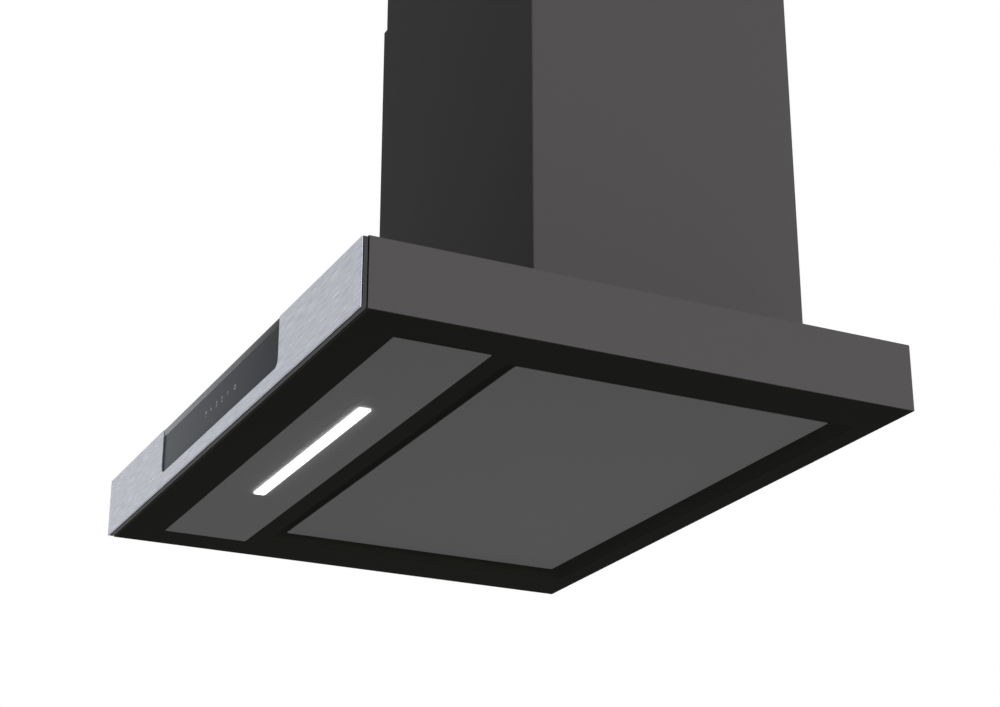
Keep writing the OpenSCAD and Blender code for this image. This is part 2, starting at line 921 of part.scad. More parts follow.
module filter_latch(side) {
    start = filter_front + latch_wall;
    grip_y = start + latch_l / 2;
    color("#2b2b2b") translate([side * filter_x, 0, 0]) {
        block([-latch_w / 2, start, latch_z],
              [latch_w / 2, start + latch_l - run_gap, latch_z + latch_h]);
        // Bolt that reaches over the shelf's edge
        block([-bolt_w / 2, filter_front - bolt_reach, latch_z], [bolt_w / 2, start, latch_z + bolt_h]);
        // Grip for a finger
        block([-bolt_w / 2, grip_y, latch_z - grip_h], [bolt_w / 2, grip_y + grip_t, latch_z]);
    }
}

module latch_left() { filter_latch(-1); }
module latch_right() { filter_latch(1); }

// Blower

module blower_box() {
    half = box_w / 2;
    z0 = canopy_h;
    z1 = box_top;
    color("#a2a5a6") difference() {
        union() {
            difference() {
                block([-half, box_front, z0], [half, box_back, z1]);
                block([box_t - half, box_front + box_t, z0 - over],
                      [half - box_t, box_back - box_t, z1 - box_t]);
            }
            // Feet on the canopy
            both_sides() block([half, box_front + box_foot, z0],
                               [half + box_foot, box_back - frame_foot, z0 + box_t]);
        }
        // Step over the rear frame's foot
        block([-half - over, box_back - frame_foot, z0 - over],
              [half + over, box_back + over, z0 + frame_t]);
        // Blower outlet
        translate([0, axis_y, z1 - box_t - over])
            block([-scroll_half, neck_in, 0], [scroll_half, neck_out, box_t + 2 * over]);
    }
}

// Filled outline of the spiral, grown by a wall. The arcs of its four quarters
// have their centres at the corners of a small square and meet without a kink.
module volute(wall) {
    g = volute_growth / 2;
    arcs = [[-g, g, volute_r], [-g, -g, volute_in], [g, -g, volute_low], [g, g, volute_out]];
    for (k = [0:3])
        translate([arcs[k].x, arcs[k].y]) intersection() {
            circle(arcs[k].z + wall);
            rotate(90 * k) square(arcs[k].z + wall + over);
        }
    square(2 * g, center = true);
    translate([neck_in - wall, 0]) square([neck_out - neck_in + 2 * wall, neck_top]);
}

module scroll_half_shell() {
    side = scroll_half + volute_t;
    translate([0, axis_y, axis_z]) {
        // Spiral wall
        along_x(0, scroll_half) difference() {
            volute(volute_t);
            difference() {
                volute(0);
                translate([neck_in, neck_top]) square([neck_out - neck_in, over]);
            }
        }
        // Side wall with its inlet
        along_x(scroll_half, side) difference() {
            volute(volute_t);
            circle(inlet_r);
        }
        // Rolled lip of the inlet
        translate([side, 0, 0]) rotate([0, 90, 0]) rotate_extrude()
            translate([inlet_r + inlet_lip, 0]) intersection() {
                difference() {
                    circle(inlet_lip);
                    circle(inlet_lip - volute_t);
                }
                translate([-inlet_lip, 0]) square(inlet_lip);
            }
        // Flange under the top of the box
        block([0, neck_out + volute_t, neck_top - volute_t], [side, neck_out + neck_flange / 2, neck_top]);
        block([side, neck_in, neck_top - volute_t], [side + neck_flange, neck_out, neck_top]);
    }
}

module scroll_right() {
    color("#3a3c3e") scroll_half_shell();
}

module scroll_left() {
    color("#3a3c3e") mirror([1, 0, 0]) scroll_half_shell();
}

// One forward-curved blade, bowed between the wheel's inner and outer circles
module blade_outline() {
    middle = wheel_r - blade_l / 2;
    sag = sqrt(pow(blade_bow_r, 2) - pow(blade_l / 2, 2));
    translate([middle, 0]) rotate(-blade_tilt) intersection() {
        translate([0, -sag]) difference() {
            circle(blade_bow_r + blade_t / 2, $fn = blade_fn);
            circle(blade_bow_r - blade_t / 2, $fn = blade_fn);
        }
        translate([-blade_l / 2, -blade_t]) square(blade_l);
    }
}

module blower_wheel() {
    reach = wheel_w / 2 - ring_t / 2;
    color("#4a4d50") translate([0, axis_y, axis_z]) {
        difference() {
            union() {
                along_x(-reach, reach)
                    for (k = [0:blade_count - 1]) rotate(k * 360 / blade_count) blade_outline();
                // End rings
                for (side = [-1, 1])
                    translate([side * (wheel_w - ring_t) / 2, 0, 0]) rotate([0, 90, 0]) difference() {
                        cylinder(h = ring_t, r = wheel_r + ring_out, center = true);
                        cylinder(h = ring_t + over, r = wheel_r - blade_l, center = true);
                    }
                // Disc and hub
                rotate([0, 90, 0]) cylinder(h = disc_t, r = wheel_r - ring_t, center = true);
                rotate([0, 90, 0]) cylinder(h = hub_l, r = hub_r, center = true);
            }
            rotate([0, 90, 0]) cylinder(h = hub_l + over, r = shaft_r, center = true);
        }
    }
}

module wheel_shaft() {
    color("#c2c4c6") translate([shaft_out, axis_y, axis_z]) rotate([0, 90, 0])
        cylinder(h = shaft_in - shaft_out, r = shaft_r);
}

module motor_rotor() {
    color("#8d8f92") translate([motor_in - shield_l - motor_stack, axis_y, axis_z])
        rotate([0, 90, 0]) difference() {
            cylinder(h = motor_stack, r = rotor_r);
            translate([0, 0, -over]) cylinder(h = motor_stack + 2 * over, r = shaft_r);
        }
}

// One end shield: a cup with cooling slots and a bearing seat, open towards +X
module end_shield() {
    rotate([0, 90, 0]) difference() {
        union() {
            difference() {
                cylinder(h = shield_l, r = motor_r);
                translate([0, 0, shield_t]) cylinder(h = shield_l, r = motor_r - shield_t);
            }
            cylinder(h = bearing_l + shield_t, r = bearing_r + shield_t);
        }
        translate([0, 0, -over]) cylinder(h = bearing_l + over, r = bearing_r);
        translate([0, 0, -over]) cylinder(h = shield_l, r = shaft_r + 2 * air_gap);
        for (k = [0:cooling_slot_count - 1])
            rotate(k * 360 / cooling_slot_count)
                translate([(motor_r + bearing_r) / 2 + shield_t, 0, shield_t / 2])
                    cube([cooling_slot_l, shield_t, shield_t + over], center = true);
    }
}

module motor_shields() {
    color("#77797c") translate([0, axis_y, axis_z]) {
        translate([motor_out, 0, 0]) end_shield();
        translate([motor_in, 0, 0]) mirror([1, 0, 0]) end_shield();
    }
}

module motor_stator() {
    color("#5f6163") translate([motor_out + shield_l, axis_y, axis_z]) rotate([0, 90, 0])
        linear_extrude(motor_stack) difference() {
            circle(motor_r);
            circle(rotor_r + air_gap);
            for (k = [0:slot_count - 1]) rotate(k * 360 / slot_count)
                translate([(rotor_r + motor_r) / 2 - slot_r / 2, 0]) circle(slot_r);
        }
}

module motor_windings() {
    color("#a4622c") translate([0, axis_y, axis_z]) rotate([0, 90, 0])
        for (z = [motor_out + shield_l - winding_l, motor_in - shield_l])
            translate([0, 0, z]) difference() {
                cylinder(h = winding_l, r = rotor_r + winding_w + 2 * air_gap);
                translate([0, 0, -over]) cylinder(h = winding_l + 2 * over, r = rotor_r + 2 * air_gap);
            }
}

module motor_bearings() {
    color("#d0d2d4") translate([0, axis_y, axis_z]) rotate([0, 90, 0])
        for (z = [motor_out, motor_in - bearing_l])
            translate([0, 0, z]) difference() {
                cylinder(h = bearing_l, r = bearing_r);
                translate([0, 0, -over]) cylinder(h = bearing_l + 2 * over, r = shaft_r + turn_gap);
            }
}

// Three-armed holder of the motor on the left side wall of the spiral
module motor_bracket() {
    wall_x = -scroll_half - volute_t;
    color("#8c8e90") translate([0, axis_y, axis_z]) {
        translate([motor_out, 0, 0]) rotate([0, 90, 0]) difference() {
            cylinder(h = spider_band, r = motor_r + spider_t);
            translate([0, 0, -over]) cylinder(h = spider_band + 2 * over, r = motor_r);
        }
        for (k = [0:2]) rotate([90 + 120 * k, 0, 0]) {
            block([motor_out, motor_r + spider_t / 2, -spider_arm / 2],
                  [motor_out + spider_t, spider_r + spider_arm / 2, spider_arm / 2]);
            translate([motor_out, spider_r, 0]) rotate([0, 90, 0])
                cylinder(h = wall_x - motor_out, r = spider_arm / 2);
        }
    }
}

// Outlet

// The adapter's outline between its square and its round end
module adapter_body(wall) {
    mid = axis_y + (neck_in + neck_out) / 2;
    hull() {
        translate([0, mid, adapter_z]) linear_extrude(adapter_t)
            square([2 * (scroll_half + wall), neck_out - neck_in + 2 * wall], center = true);
        translate([0, -duct_y, collar_z - adapter_t])
            linear_extrude(adapter_t) circle(duct_r - duct_t + wall, $fn = loft_fn);
    }
}

module outlet_adapter() {
    mid = axis_y + (neck_in + neck_out) / 2;
    neck_w = 2 * scroll_half;
    neck_d = neck_out - neck_in;
    foot = 2 * adapter_flange;
    color("#2f3032") {
        difference() {
            adapter_body(adapter_t);
            adapter_body(0);
            translate([0, mid, adapter_z - over])
                linear_extrude(2 * over) square([neck_w, neck_d], center = true);
            translate([0, -duct_y, collar_z - over])
                linear_extrude(2 * over) circle(duct_r - duct_t, $fn = loft_fn);
        }
        // Foot flange on the box
        translate([0, mid, adapter_z]) linear_extrude(adapter_t) difference() {
            square([neck_w + foot, neck_d + foot], center = true);
            square([neck_w + adapter_t, neck_d + adapter_t], center = true);
        }
        // Ring that carries the duct collar
        translate([0, -duct_y, collar_z - adapter_t]) difference() {
            cylinder(h = adapter_t, r = duct_r + collar_flange);
            translate([0, 0, -over]) cylinder(h = adapter_t + 2 * over, r = duct_r);
        }
    }
}

module duct_collar() {
    bore_r = duct_r - duct_t;
    ledge_top = flap_z - flap_t / 2 - run_gap;
    room = 2 * (knuckle_r + run_gap);
    color("#26272a") translate([0, -duct_y, 0]) difference() {
        rotate_extrude() {
            translate([bore_r, collar_z]) square([duct_t, duct_h]);
            translate([bore_r, collar_z]) square([duct_t + collar_flange, collar_flange_t]);
            // Ledge that the flaps rest on
            translate([bore_r - ledge_w, ledge_top - ledge_t]) square([ledge_w + duct_t / 2, ledge_t]);
        }
        translate([0, 0, flap_z]) rotate([0, 90, 0])
            cylinder(h = 2 * (duct_r + over), r = flap_pin_r, center = true);
        // Room for the knuckles beside the ledge
        translate([0, 0, flap_z]) cube([2 * bore_r, room, room], center = true);
    }
}

module flap_pin() {
    color("#b0b2b4") translate([0, -duct_y, flap_z]) rotate([0, 90, 0])
        cylinder(h = 2 * (duct_r - duct_t / 2), r = flap_pin_r, center = true);
}

// One half of the back-draught valve. side is -1 for the front half and 1 for the rear half.
module valve_flap(side) {
    color("#3b3d40") translate([0, -duct_y, flap_z]) {
        intersection() {
            cylinder(h = flap_t, r = flap_r, center = true);
            translate([0, side * (flap_root + flap_r), 0])
                cube([2 * flap_r, 2 * flap_r, 2 * flap_t], center = true);
        }
        for (x = side * [knuckle_near, -knuckle_far]) difference() {
            union() {
                translate([x, 0, 0]) rotate([0, 90, 0])
                    cylinder(h = knuckle_l, r = knuckle_r, center = true);
                translate([x, side * flap_root, 0]) cube([knuckle_l, 2 * flap_root, flap_t], center = true);
            }
            translate([x, 0, 0]) rotate([0, 90, 0])
                cylinder(h = knuckle_l + over, r = flap_pin_r + turn_gap, center = true);
        }
    }
}

module flap_front() { valve_flap(-1); }
module flap_rear() { valve_flap(1); }

// Electrical parts

module control_box() {
    color("#cfcfca") difference() {
        translate([ctrl_x, ctrl_y, box_top]) linear_extrude(ctrl_h) rounded(ctrl_w, ctrl_d, ctrl_wall);
        translate([ctrl_x, ctrl_y, box_top + ctrl_wall]) linear_extrude(ctrl_h)
            square([ctrl_w - 2 * ctrl_wall, ctrl_d - 2 * ctrl_wall], center = true);
    }
}

module control_lid() {
    color("#c4c4bf") difference() {
        translate([ctrl_x, ctrl_y, box_top + ctrl_h])
            linear_extrude(lid_t) rounded(ctrl_w, ctrl_d, ctrl_wall);
        gland_place() cylinder(h = pierce, r = gland_r, center = true);
    }
    color("#c4c4bf") translate([ctrl_x, ctrl_y, box_top + ctrl_h + lid_t])
        for (i = [0:lid_rib_count - 1])
            translate([0, (i - (lid_rib_count - 1) / 2) * lid_rib_pitch, 0])
                linear_extrude(lid_t / 2) square([lid_rib_l, ctrl_wall], center = true);
}

module gland_place() {
    translate([ctrl_x, ctrl_y + ctrl_d / 2 - gland_nut_r - ctrl_wall, box_top + ctrl_h + lid_t / 2])
        children();
}

module cord_gland() {
    color("#2e2e2e") gland_place() difference() {
        union() {
            translate([0, 0, -gland_inside]) cylinder(h = gland_l, r = gland_r);
            translate([0, 0, lid_t / 2]) cylinder(h = gland_nut_l, r = gland_nut_r, $fn = 6);
        }
        translate([0, 0, -gland_inside - over]) cylinder(h = gland_l + 2 * over, r = gland_bore_r);
    }
}

module capacitor() {
    color("#d6d6d2") translate([cap_x, cap_y, box_top]) {
        cylinder(h = cap_h, r = cap_r);
        translate([0, 0, cap_h]) cylinder(h = lid_t, r = cap_r - lid_t);
    }
}

module lamp_lead() {
    low = light_board_z + board_t / 2;
    color("#d8d8d8") along_y(lamp_y - thin_lead_w / 2, lamp_y + thin_lead_w / 2)
        lead_path([
            [driver_x, canopy_h - sheet_t - driver_h],
            [driver_x, low],
            [-light_l / 2, low]
        ], thin_lead_t);
}

module touch_lead() {
    x = plug_x + plug_w / 2;
    start_y = glass_back_y + board_t + plug_d;
    low = glass_bottom + board_inset / 2 + plug_rise + plug_h / 2;
    high = canopy_h - sheet_t - ribbon_t / 2;
    // The ribbon goes up at the front edge of the air way
    up_y = box_front + air_side + 2 * ribbon_t;
    color("#303030") along_x(x - ribbon_w / 2, x + ribbon_w / 2)
        lead_path([
            [start_y, low],
            [start_y + lead_stand, low],
            [start_y + lead_stand, high],
            [up_y, high],
            [up_y, box_top - box_t]
        ], ribbon_t);
}

module motor_lead() {
    up_x = motor_out - lead_stand;
    y = axis_y - motor_r / 2;
    z = axis_z + bearing_r + lead_t;
    color("#3a2f2a") along_y(y - lead_w / 2, y + lead_w / 2)
        lead_path([[motor_out, z], [up_x, z], [up_x, box_top - box_t]], lead_t);
}

// Fixing to the wall

module rear_frame() {
    half = frame_w / 2;
    color("#9c9fa1") difference() {
        union() {
            block([-half, -frame_t, canopy_h], [half, 0, frame_top]);
            block([-half, -frame_t - frame_foot, canopy_h], [half, 0, canopy_h + frame_t]);
        }
        // Window that hangs on the rail
        block([-rail_w / 2 - 2 * slot_gap, -frame_t - over, rail_z - 2 * slot_gap],
              [rail_w / 2 + 2 * slot_gap, over, rail_z + rail_h]);
    }
}

module wall_rail() {
    half = rail_w / 2;
    top = rail_z + rail_h;
    color("#85888a") difference() {
        union() {
            block([-half, -rail_t, rail_z], [half, 0, top]);
            block([-half, -rail_channel - rail_t, top - rail_t], [half, 0, top]);
            block([-half, -rail_channel - rail_t, top - rail_t], [half, -rail_channel, top + rail_hook]);
        }
        both_sides() translate([rail_pitch / 2, 0, rail_z + rail_h / 2 - rail_t]) rotate([90, 0, 0])
            cylinder(h = pierce, r = rail_hole_r, center = true);
    }
}

// Chimney

// Plan of a cover that is open to the wall, with returns along its rear edges
module cover_plan(w, d, t, r) {
    rotate(180) bent_sheet(w, d, r, t);
    for (side = [-1, 1])
        translate([side * (w / 2 - t - return_w / 2), -t / 2]) square([return_w, t], center = true);
}

module lower_chimney() {
    inner = chimney_w / 2 - chimney_t;
    foot = inner - foot_w;
    color("#555152") difference() {
        union() {
            translate([0, 0, lower_z]) linear_extrude(lower_h)
                cover_plan(chimney_w, chimney_d, chimney_t, chimney_bend_r);
            // Feet screwed down to the canopy
            both_sides() block([foot, 2 * foot_w - chimney_d, lower_z],
                               [inner, -2 * foot_w, lower_z + chimney_t]);
        }
        chimney_screw_places() cylinder(h = pierce, r = screw_r, center = true);
    }
}

module chimney_screw_places() {
    both_sides() for (share = chimney_screw_share)
        translate([chimney_w / 2 - chimney_t - foot_w / 2, -share * chimney_d, lower_z + chimney_t])
            children();
}

module chimney_screws() {
    color("#8f9092") chimney_screw_places() screw(front_screw_l);
}

module chimney_glides() {
    inner = chimney_w / 2 - chimney_t;
    front = -chimney_d + chimney_t;
    top = lower_top - glide_drop;
    color("#b8b8b4") {
        both_sides() for (share = [1 - glide_share, glide_share])
            block([inner - glide_t, -share * chimney_d - glide_w / 2, top - glide_h],
                  [inner, -share * chimney_d + glide_w / 2, top]);
        for (side = [-1, 1])
            block([side * inner * glide_share - glide_w / 2, front, top - glide_h],
                  [side * inner * glide_share + glide_w / 2, front + glide_t, top]);
    }
}

module upper_chimney() {
    color("#575354") difference() {
        translate([0, -upper_inset, upper_bottom]) linear_extrude(upper_len)
            cover_plan(upper_w, upper_d - upper_inset, chimney_t, chimney_bend_r);
        // Vent slits on both sides
        for (i = [0:vent_count - 1])
            translate([0, -chimney_d / 2, overall_h - vent_top - i * vent_pitch])
                cube([chimney_w + over, vent_l, vent_w], center = true);
        upper_screw_places() cylinder(h = pierce, r = screw_r, center = true);
    }
}

module upper_screw_places() {
    z = overall_h - bracket_drop - bracket_h / 2;
    both_sides() translate([upper_w / 2, -bracket_reach - bracket_foot / 2, z])
        rotate([0, 90, 0]) children();
}

module upper_bracket() {
    z0 = overall_h - bracket_drop - bracket_h;
    t = bracket_t;
    x = bracket_x;
    color("#9c9fa1") difference() {
        translate([0, 0, z0]) linear_extrude(bracket_h) {
            translate([-x, -t]) square([2 * x, t]);
            for (side = [-1, 1]) mirror([side > 0 ? 0 : 1, 0]) {
                translate([x - t, -bracket_reach]) square([t, bracket_reach]);
                translate([x - t, -bracket_reach]) square([upper_in - x + t, t]);
                translate([upper_in - t, -bracket_reach - bracket_foot]) square([t, bracket_foot + t]);
            }
        }
        both_sides() translate([bracket_hole_pitch / 2, 0, z0 + bracket_h / 2]) rotate([90, 0, 0])
            cylinder(h = pierce, r = bracket_hole_r, center = true);
        upper_screw_places() cylinder(h = pierce, r = screw_r, center = true);
    }
}

module upper_screws() {
    color("#8f9092") upper_screw_places() screw(front_screw_l);
}

canopy_shell();
bottom_frame();
filter_shelf();
front_carrier();
front_seal();
fascia_bond();
fascia_steel();
front_screws();
control_glass();
touch_board();
lamp_panel();
light_diffuser();
light_channel();
light_board();
lamp_driver();
cover_skin();
cover_tray();
hinge_pins();
hinge_brackets();
catch_studs();
cover_catches();
filter_frame_left();
filter_frame_right();
filter_mesh_left();
filter_mesh_right();
latch_left();
latch_right();
blower_box();
scroll_left();
scroll_right();
blower_wheel();
wheel_shaft();
motor_rotor();
motor_shields();
motor_stator();
motor_windings();
motor_bearings();
motor_bracket();
outlet_adapter();
duct_collar();
flap_pin();
flap_front();
flap_rear();
control_box();
control_lid();
cord_gland();
capacitor();
lamp_lead();
touch_lead();
motor_lead();
rear_frame();
wall_rail();
lower_chimney();
chimney_screws();
chimney_glides();
upper_chimney();
upper_bracket();
upper_screws();
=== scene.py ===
"""Looks of a wall-mounted chimney range hood with edge suction.

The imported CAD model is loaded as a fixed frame. This script gives each of its nodes
a finish, adds the finer pieces that the CAD solids only stand for, and sets up the
studio and the camera. Lengths in the dataclasses are millimetres unless a name or a
comment says otherwise. +Z is up, +Y goes into the wall, and the hood's front faces -Y.
"""

import logging
from collections.abc import Sequence
from dataclasses import dataclass, field, replace
from enum import Enum
from math import pi, radians

import bpy
import numpy as np
from mathutils import Euler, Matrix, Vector


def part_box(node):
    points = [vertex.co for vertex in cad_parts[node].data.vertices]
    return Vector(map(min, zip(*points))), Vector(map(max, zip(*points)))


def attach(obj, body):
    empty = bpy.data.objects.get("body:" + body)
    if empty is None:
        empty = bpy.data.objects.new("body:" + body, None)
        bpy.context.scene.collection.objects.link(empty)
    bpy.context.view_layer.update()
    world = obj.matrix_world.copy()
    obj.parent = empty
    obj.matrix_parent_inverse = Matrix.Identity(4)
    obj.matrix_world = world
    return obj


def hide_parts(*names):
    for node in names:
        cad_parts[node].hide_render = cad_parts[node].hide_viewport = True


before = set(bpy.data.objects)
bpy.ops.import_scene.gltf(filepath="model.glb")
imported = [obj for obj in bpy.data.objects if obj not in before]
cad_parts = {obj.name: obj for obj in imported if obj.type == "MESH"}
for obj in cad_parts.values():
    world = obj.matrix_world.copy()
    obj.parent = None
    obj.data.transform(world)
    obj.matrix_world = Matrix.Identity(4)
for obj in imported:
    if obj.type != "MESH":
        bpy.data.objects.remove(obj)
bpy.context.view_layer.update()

LOG = logging.getLogger("range_hood")
MM = 0.001

# Bodies of the frame that the new pieces ride on
HOOD, UPPER = "hood", "upper"

# Faces as lists of vertex numbers, a mesh as its vertices and faces, and a place or size
# along X, Y and Z
Faces = list[list[int]]
Mesh = tuple[np.ndarray, Faces]
Triple = tuple[float, float, float]

# The underside's face is at height 0. How far its black comes round a cut edge
EDGE_REACH = 0.2
# Height at which the suction gap's walls begin, and the painted light inside the gap with them
GAP_START = 0.1
# Depth below the panels from which the light strip lights its surroundings
GLOW_BELOW = 0.5

# Part of a noise texture's range that nearly all its values lie in
NOISE_LOW, NOISE_HIGH = 0.3, 0.7
# How strongly the finer noise shows in the coarser
NOISE_ROUGHNESS = 0.6
# How far the bands of a stack waver either way, in radians of their 2 pi from band to band
BAND_WAVER = 0.4
# The wave texture turns 20 radians in one unit at scale 1, so this gives it about one
# band in one unit
WAVE_SCALE = 1 / pi


# Node trees


def linear(hex_colour: str) -> tuple[float, float, float, float]:
    """Turns an sRGB hex colour into linear values, by the curve of the sRGB standard.

    Args:
        hex_colour: Colour as #RRGGBB.

    Returns:
        Linear red, green, blue and an alpha of 1.
    """
    srgb = [int(hex_colour[i : i + 2], 16) / 255 for i in (1, 3, 5)]
    rgb = [c / 12.92 if c <= 0.04045 else ((c + 0.055) / 1.055) ** 2.4 for c in srgb]
    return (rgb[0], rgb[1], rgb[2], 1.0)


def add_node(
    tree: bpy.types.NodeTree, kind: str, inputs: dict[str | int, object] | None = None, **settings: object,
) -> bpy.types.Node:
    """Adds a node with its settings, values and links.

    Args:
        tree: Node tree that gets the node.
        kind: Blender's type name of the node.
        inputs: Value or output socket for each input, by name or number.
        **settings: Properties of the node itself.

    Returns:
        The new node.
    """
    node = tree.nodes.new(kind)
    for name, value in settings.items():
        setattr(node, name, value)
    for key, value in (inputs or {}).items():
        if isinstance(value, bpy.types.NodeSocket):
            tree.links.new(value, node.inputs[key])
        else:
            node.inputs[key].default_value = value
    return node


def place_along(tree: bpy.types.NodeTree, axis: str) -> bpy.types.NodeSocket:
    """Reads the place on the piece along one axis.

    Args:
        tree: Node tree that gets the nodes.
        axis: X, Y or Z.

    Returns:
        Output socket of the place in metres.
    """
    place = add_node(tree, "ShaderNodeTexCoord").outputs["Object"]
    return add_node(tree, "ShaderNodeSeparateXYZ", {"Vector": place}).outputs[axis]


# Finishes


class Pattern(Enum):
    """How a surface was made, which decides the pattern that it shows, or the painted reflection or painted
    light that it carries.
    """

    COATED = "sprayed or moulded, with a fine pebbled skin"
    BRUSHED = "ground in one direction"
    SPANGLED = "dipped in zinc, with crystals"
    STACKED = "made of layers, strands or turns"
    # Painted reflection: the colour gets paler towards -X in place of the surroundings that glossy glass
    # reflects
    SHADED = "flat and glossy, with a print that gets paler towards -X"
    MILKY = "cast, with a faint cloud in it"
    # Painted light: a paler colour and a faint glow inside the suction gap, in place of the light its walls
    # throw at each other
    GAP_PAINTED_LIGHT = "sprayed from below, and a little paler inside the suction gap"


# Fineness of each noise pattern: streaks within streaks on a brushed surface
NOISE_DETAIL = {Pattern.COATED: 2.0, Pattern.BRUSHED: 6.0, Pattern.MILKY: 1.0}


@dataclass(frozen=True)
class Finish:
    """A material, from what it is made of and how its surface was made.

    Attributes:
        name: Common name of the material and its process.
        slot: The record's material slot. Not used in this script.
        colour: Main colour, sRGB hex.
        second: Colour that the pattern reaches at its other end, sRGB hex.
        pattern: How the surface was made.
        grain: Size of one grain along X, Y and Z. For a painted reflection, how far it reaches.
        For painted light in the suction gap, the height at which it has become the second colour.
        turn: Angle in degrees by which the grain leans about Y.
        relief: Depth of the pattern.
        roughness: Mean roughness.
        spread: How far the roughness wanders either way.
        metallic: 1 for bare metal.
        specular: Specular level of a coating or plastic.
        coat: Weight of a clear top layer.
        glow: Strength of the light it gives off, 0 for none. In the suction gap it is a painted glow.
        seen_glow: Most of that strength that the camera sees, so that its edge stays crisp.
        cut_edge: Colour of a cut edge that lies on the underside, sRGB hex, or none.
    """

    name: str
    slot: str
    colour: str
    second: str
    pattern: Pattern
    grain: Triple
    turn: float = 0.0
    relief: float = 0.01
    roughness: float = 0.5
    spread: float = 0.05
    metallic: float = 0.0
    specular: float = 0.5
    coat: float = 0.0
    glow: float = 0.0
    seen_glow: float = 1.0
    cut_edge: str = ""

    def build(self) -> bpy.types.Material:
        """Makes the material.

        Returns:
            The material, with its colour, roughness and relief from its pattern.
        """
        material = bpy.data.materials.new(self.name)
        material.use_nodes = True
        tree = material.node_tree
        tree.nodes.clear()
        tone = self._tone(tree)
        inputs = {
            "Base Color": self._colour(tree, tone),
            "Roughness": self.roughness,
            "Metallic": self.metallic,
            "Specular IOR Level": self.specular,
            "Coat Weight": self.coat,
            "Emission Color": linear(self.colour),
            "Emission Strength": self._strength(tree, tone),
        }
        if self.spread:
            inputs["Roughness"] = add_node(
                tree, "ShaderNodeMapRange",
                {
                    "Value": tone, "To Min": self.roughness - self.spread,
                    "To Max": self.roughness + self.spread,
                },
            ).outputs["Result"]
        if self.relief:
            inputs["Normal"] = add_node(
                tree, "ShaderNodeBump", {"Height": tone, "Strength": 1.0, "Distance": self.relief * MM},
            ).outputs["Normal"]
        shader = add_node(tree, "ShaderNodeBsdfPrincipled", inputs)
        add_node(tree, "ShaderNodeOutputMaterial", {"Surface": shader.outputs["BSDF"]})
        return material

    def _colour(self, tree: bpy.types.NodeTree, tone: bpy.types.NodeSocket) -> bpy.types.NodeSocket:
        """Mixes the two colours by the pattern, with the cut edge's colour at the underside.

        Args:
            tree: Node tree of the material.
            tone: Output socket of the pattern.

        Returns:
            Output socket of the colour.
        """
        colour = add_node(
            tree, "ShaderNodeMix", {"Factor": tone, "A": linear(self.colour), "B": linear(self.second)},
            data_type="RGBA",
        ).outputs["Result"]
        if not self.cut_edge:
            return colour
        above = add_node(
            tree, "ShaderNodeMath", {0: place_along(tree, "Z"), 1: EDGE_REACH * MM}, operation="GREATER_THAN",
        )
        return add_node(
            tree, "ShaderNodeMix", {"Factor": above.outputs[0], "A": linear(self.cut_edge), "B": colour},
            data_type="RGBA",
        ).outputs["Result"]

    def _strength(self, tree: bpy.types.NodeTree, tone: bpy.types.NodeSocket) -> float | bpy.types.NodeSocket:
        """Works out the strength of the surface's own light.

        A coat with painted light in the suction gap gets it from its pattern, as a painted glow. A light
        that is stronger than the camera may see shows it an even white, and throws its full strength
        at everything else from where it stands clear of the panels.

        Args:
            tree: Node tree of the material.
            tone: Output socket of the pattern.

        Returns:
            A number that holds all over the surface, or an output socket.
        """
        # Painted glow inside the suction gap, as strong as the painted light there
        if self.pattern is Pattern.GAP_PAINTED_LIGHT:
            return add_node(tree, "ShaderNodeMath", {0: tone, 1: self.glow}, operation="MULTIPLY").outputs[0]
        if self.glow <= self.seen_glow:
            return self.glow
        low = add_node(
            tree, "ShaderNodeMath", {0: place_along(tree, "Z"), 1: -GLOW_BELOW * MM}, operation="LESS_THAN",
        )
        thrown = add_node(tree, "ShaderNodeMath", {0: low.outputs[0], 1: self.glow}, operation="MULTIPLY")
        seen = add_node(tree, "ShaderNodeLightPath").outputs["Is Camera Ray"]
        return add_node(
            tree, "ShaderNodeMapRange",
            {"Value": seen, "To Min": thrown.outputs[0], "To Max": self.seen_glow},
        ).outputs["Result"]

    def _tone(self, tree: bpy.types.NodeTree) -> bpy.types.NodeSocket:
        """Makes the pattern as a value from 0 to 1.

        Args:
            tree: Node tree of the material.

        Returns:
            Output socket of the pattern.
        """
        # Painted reflection: 0 at the +X end, 1 at the -X end
        if self.pattern is Pattern.SHADED:
            half = self.grain[0] * MM / 2
            return add_node(
                tree, "ShaderNodeMapRange",
                {"Value": place_along(tree, "X"), "From Min": half, "From Max": -half},
            ).outputs["Result"]
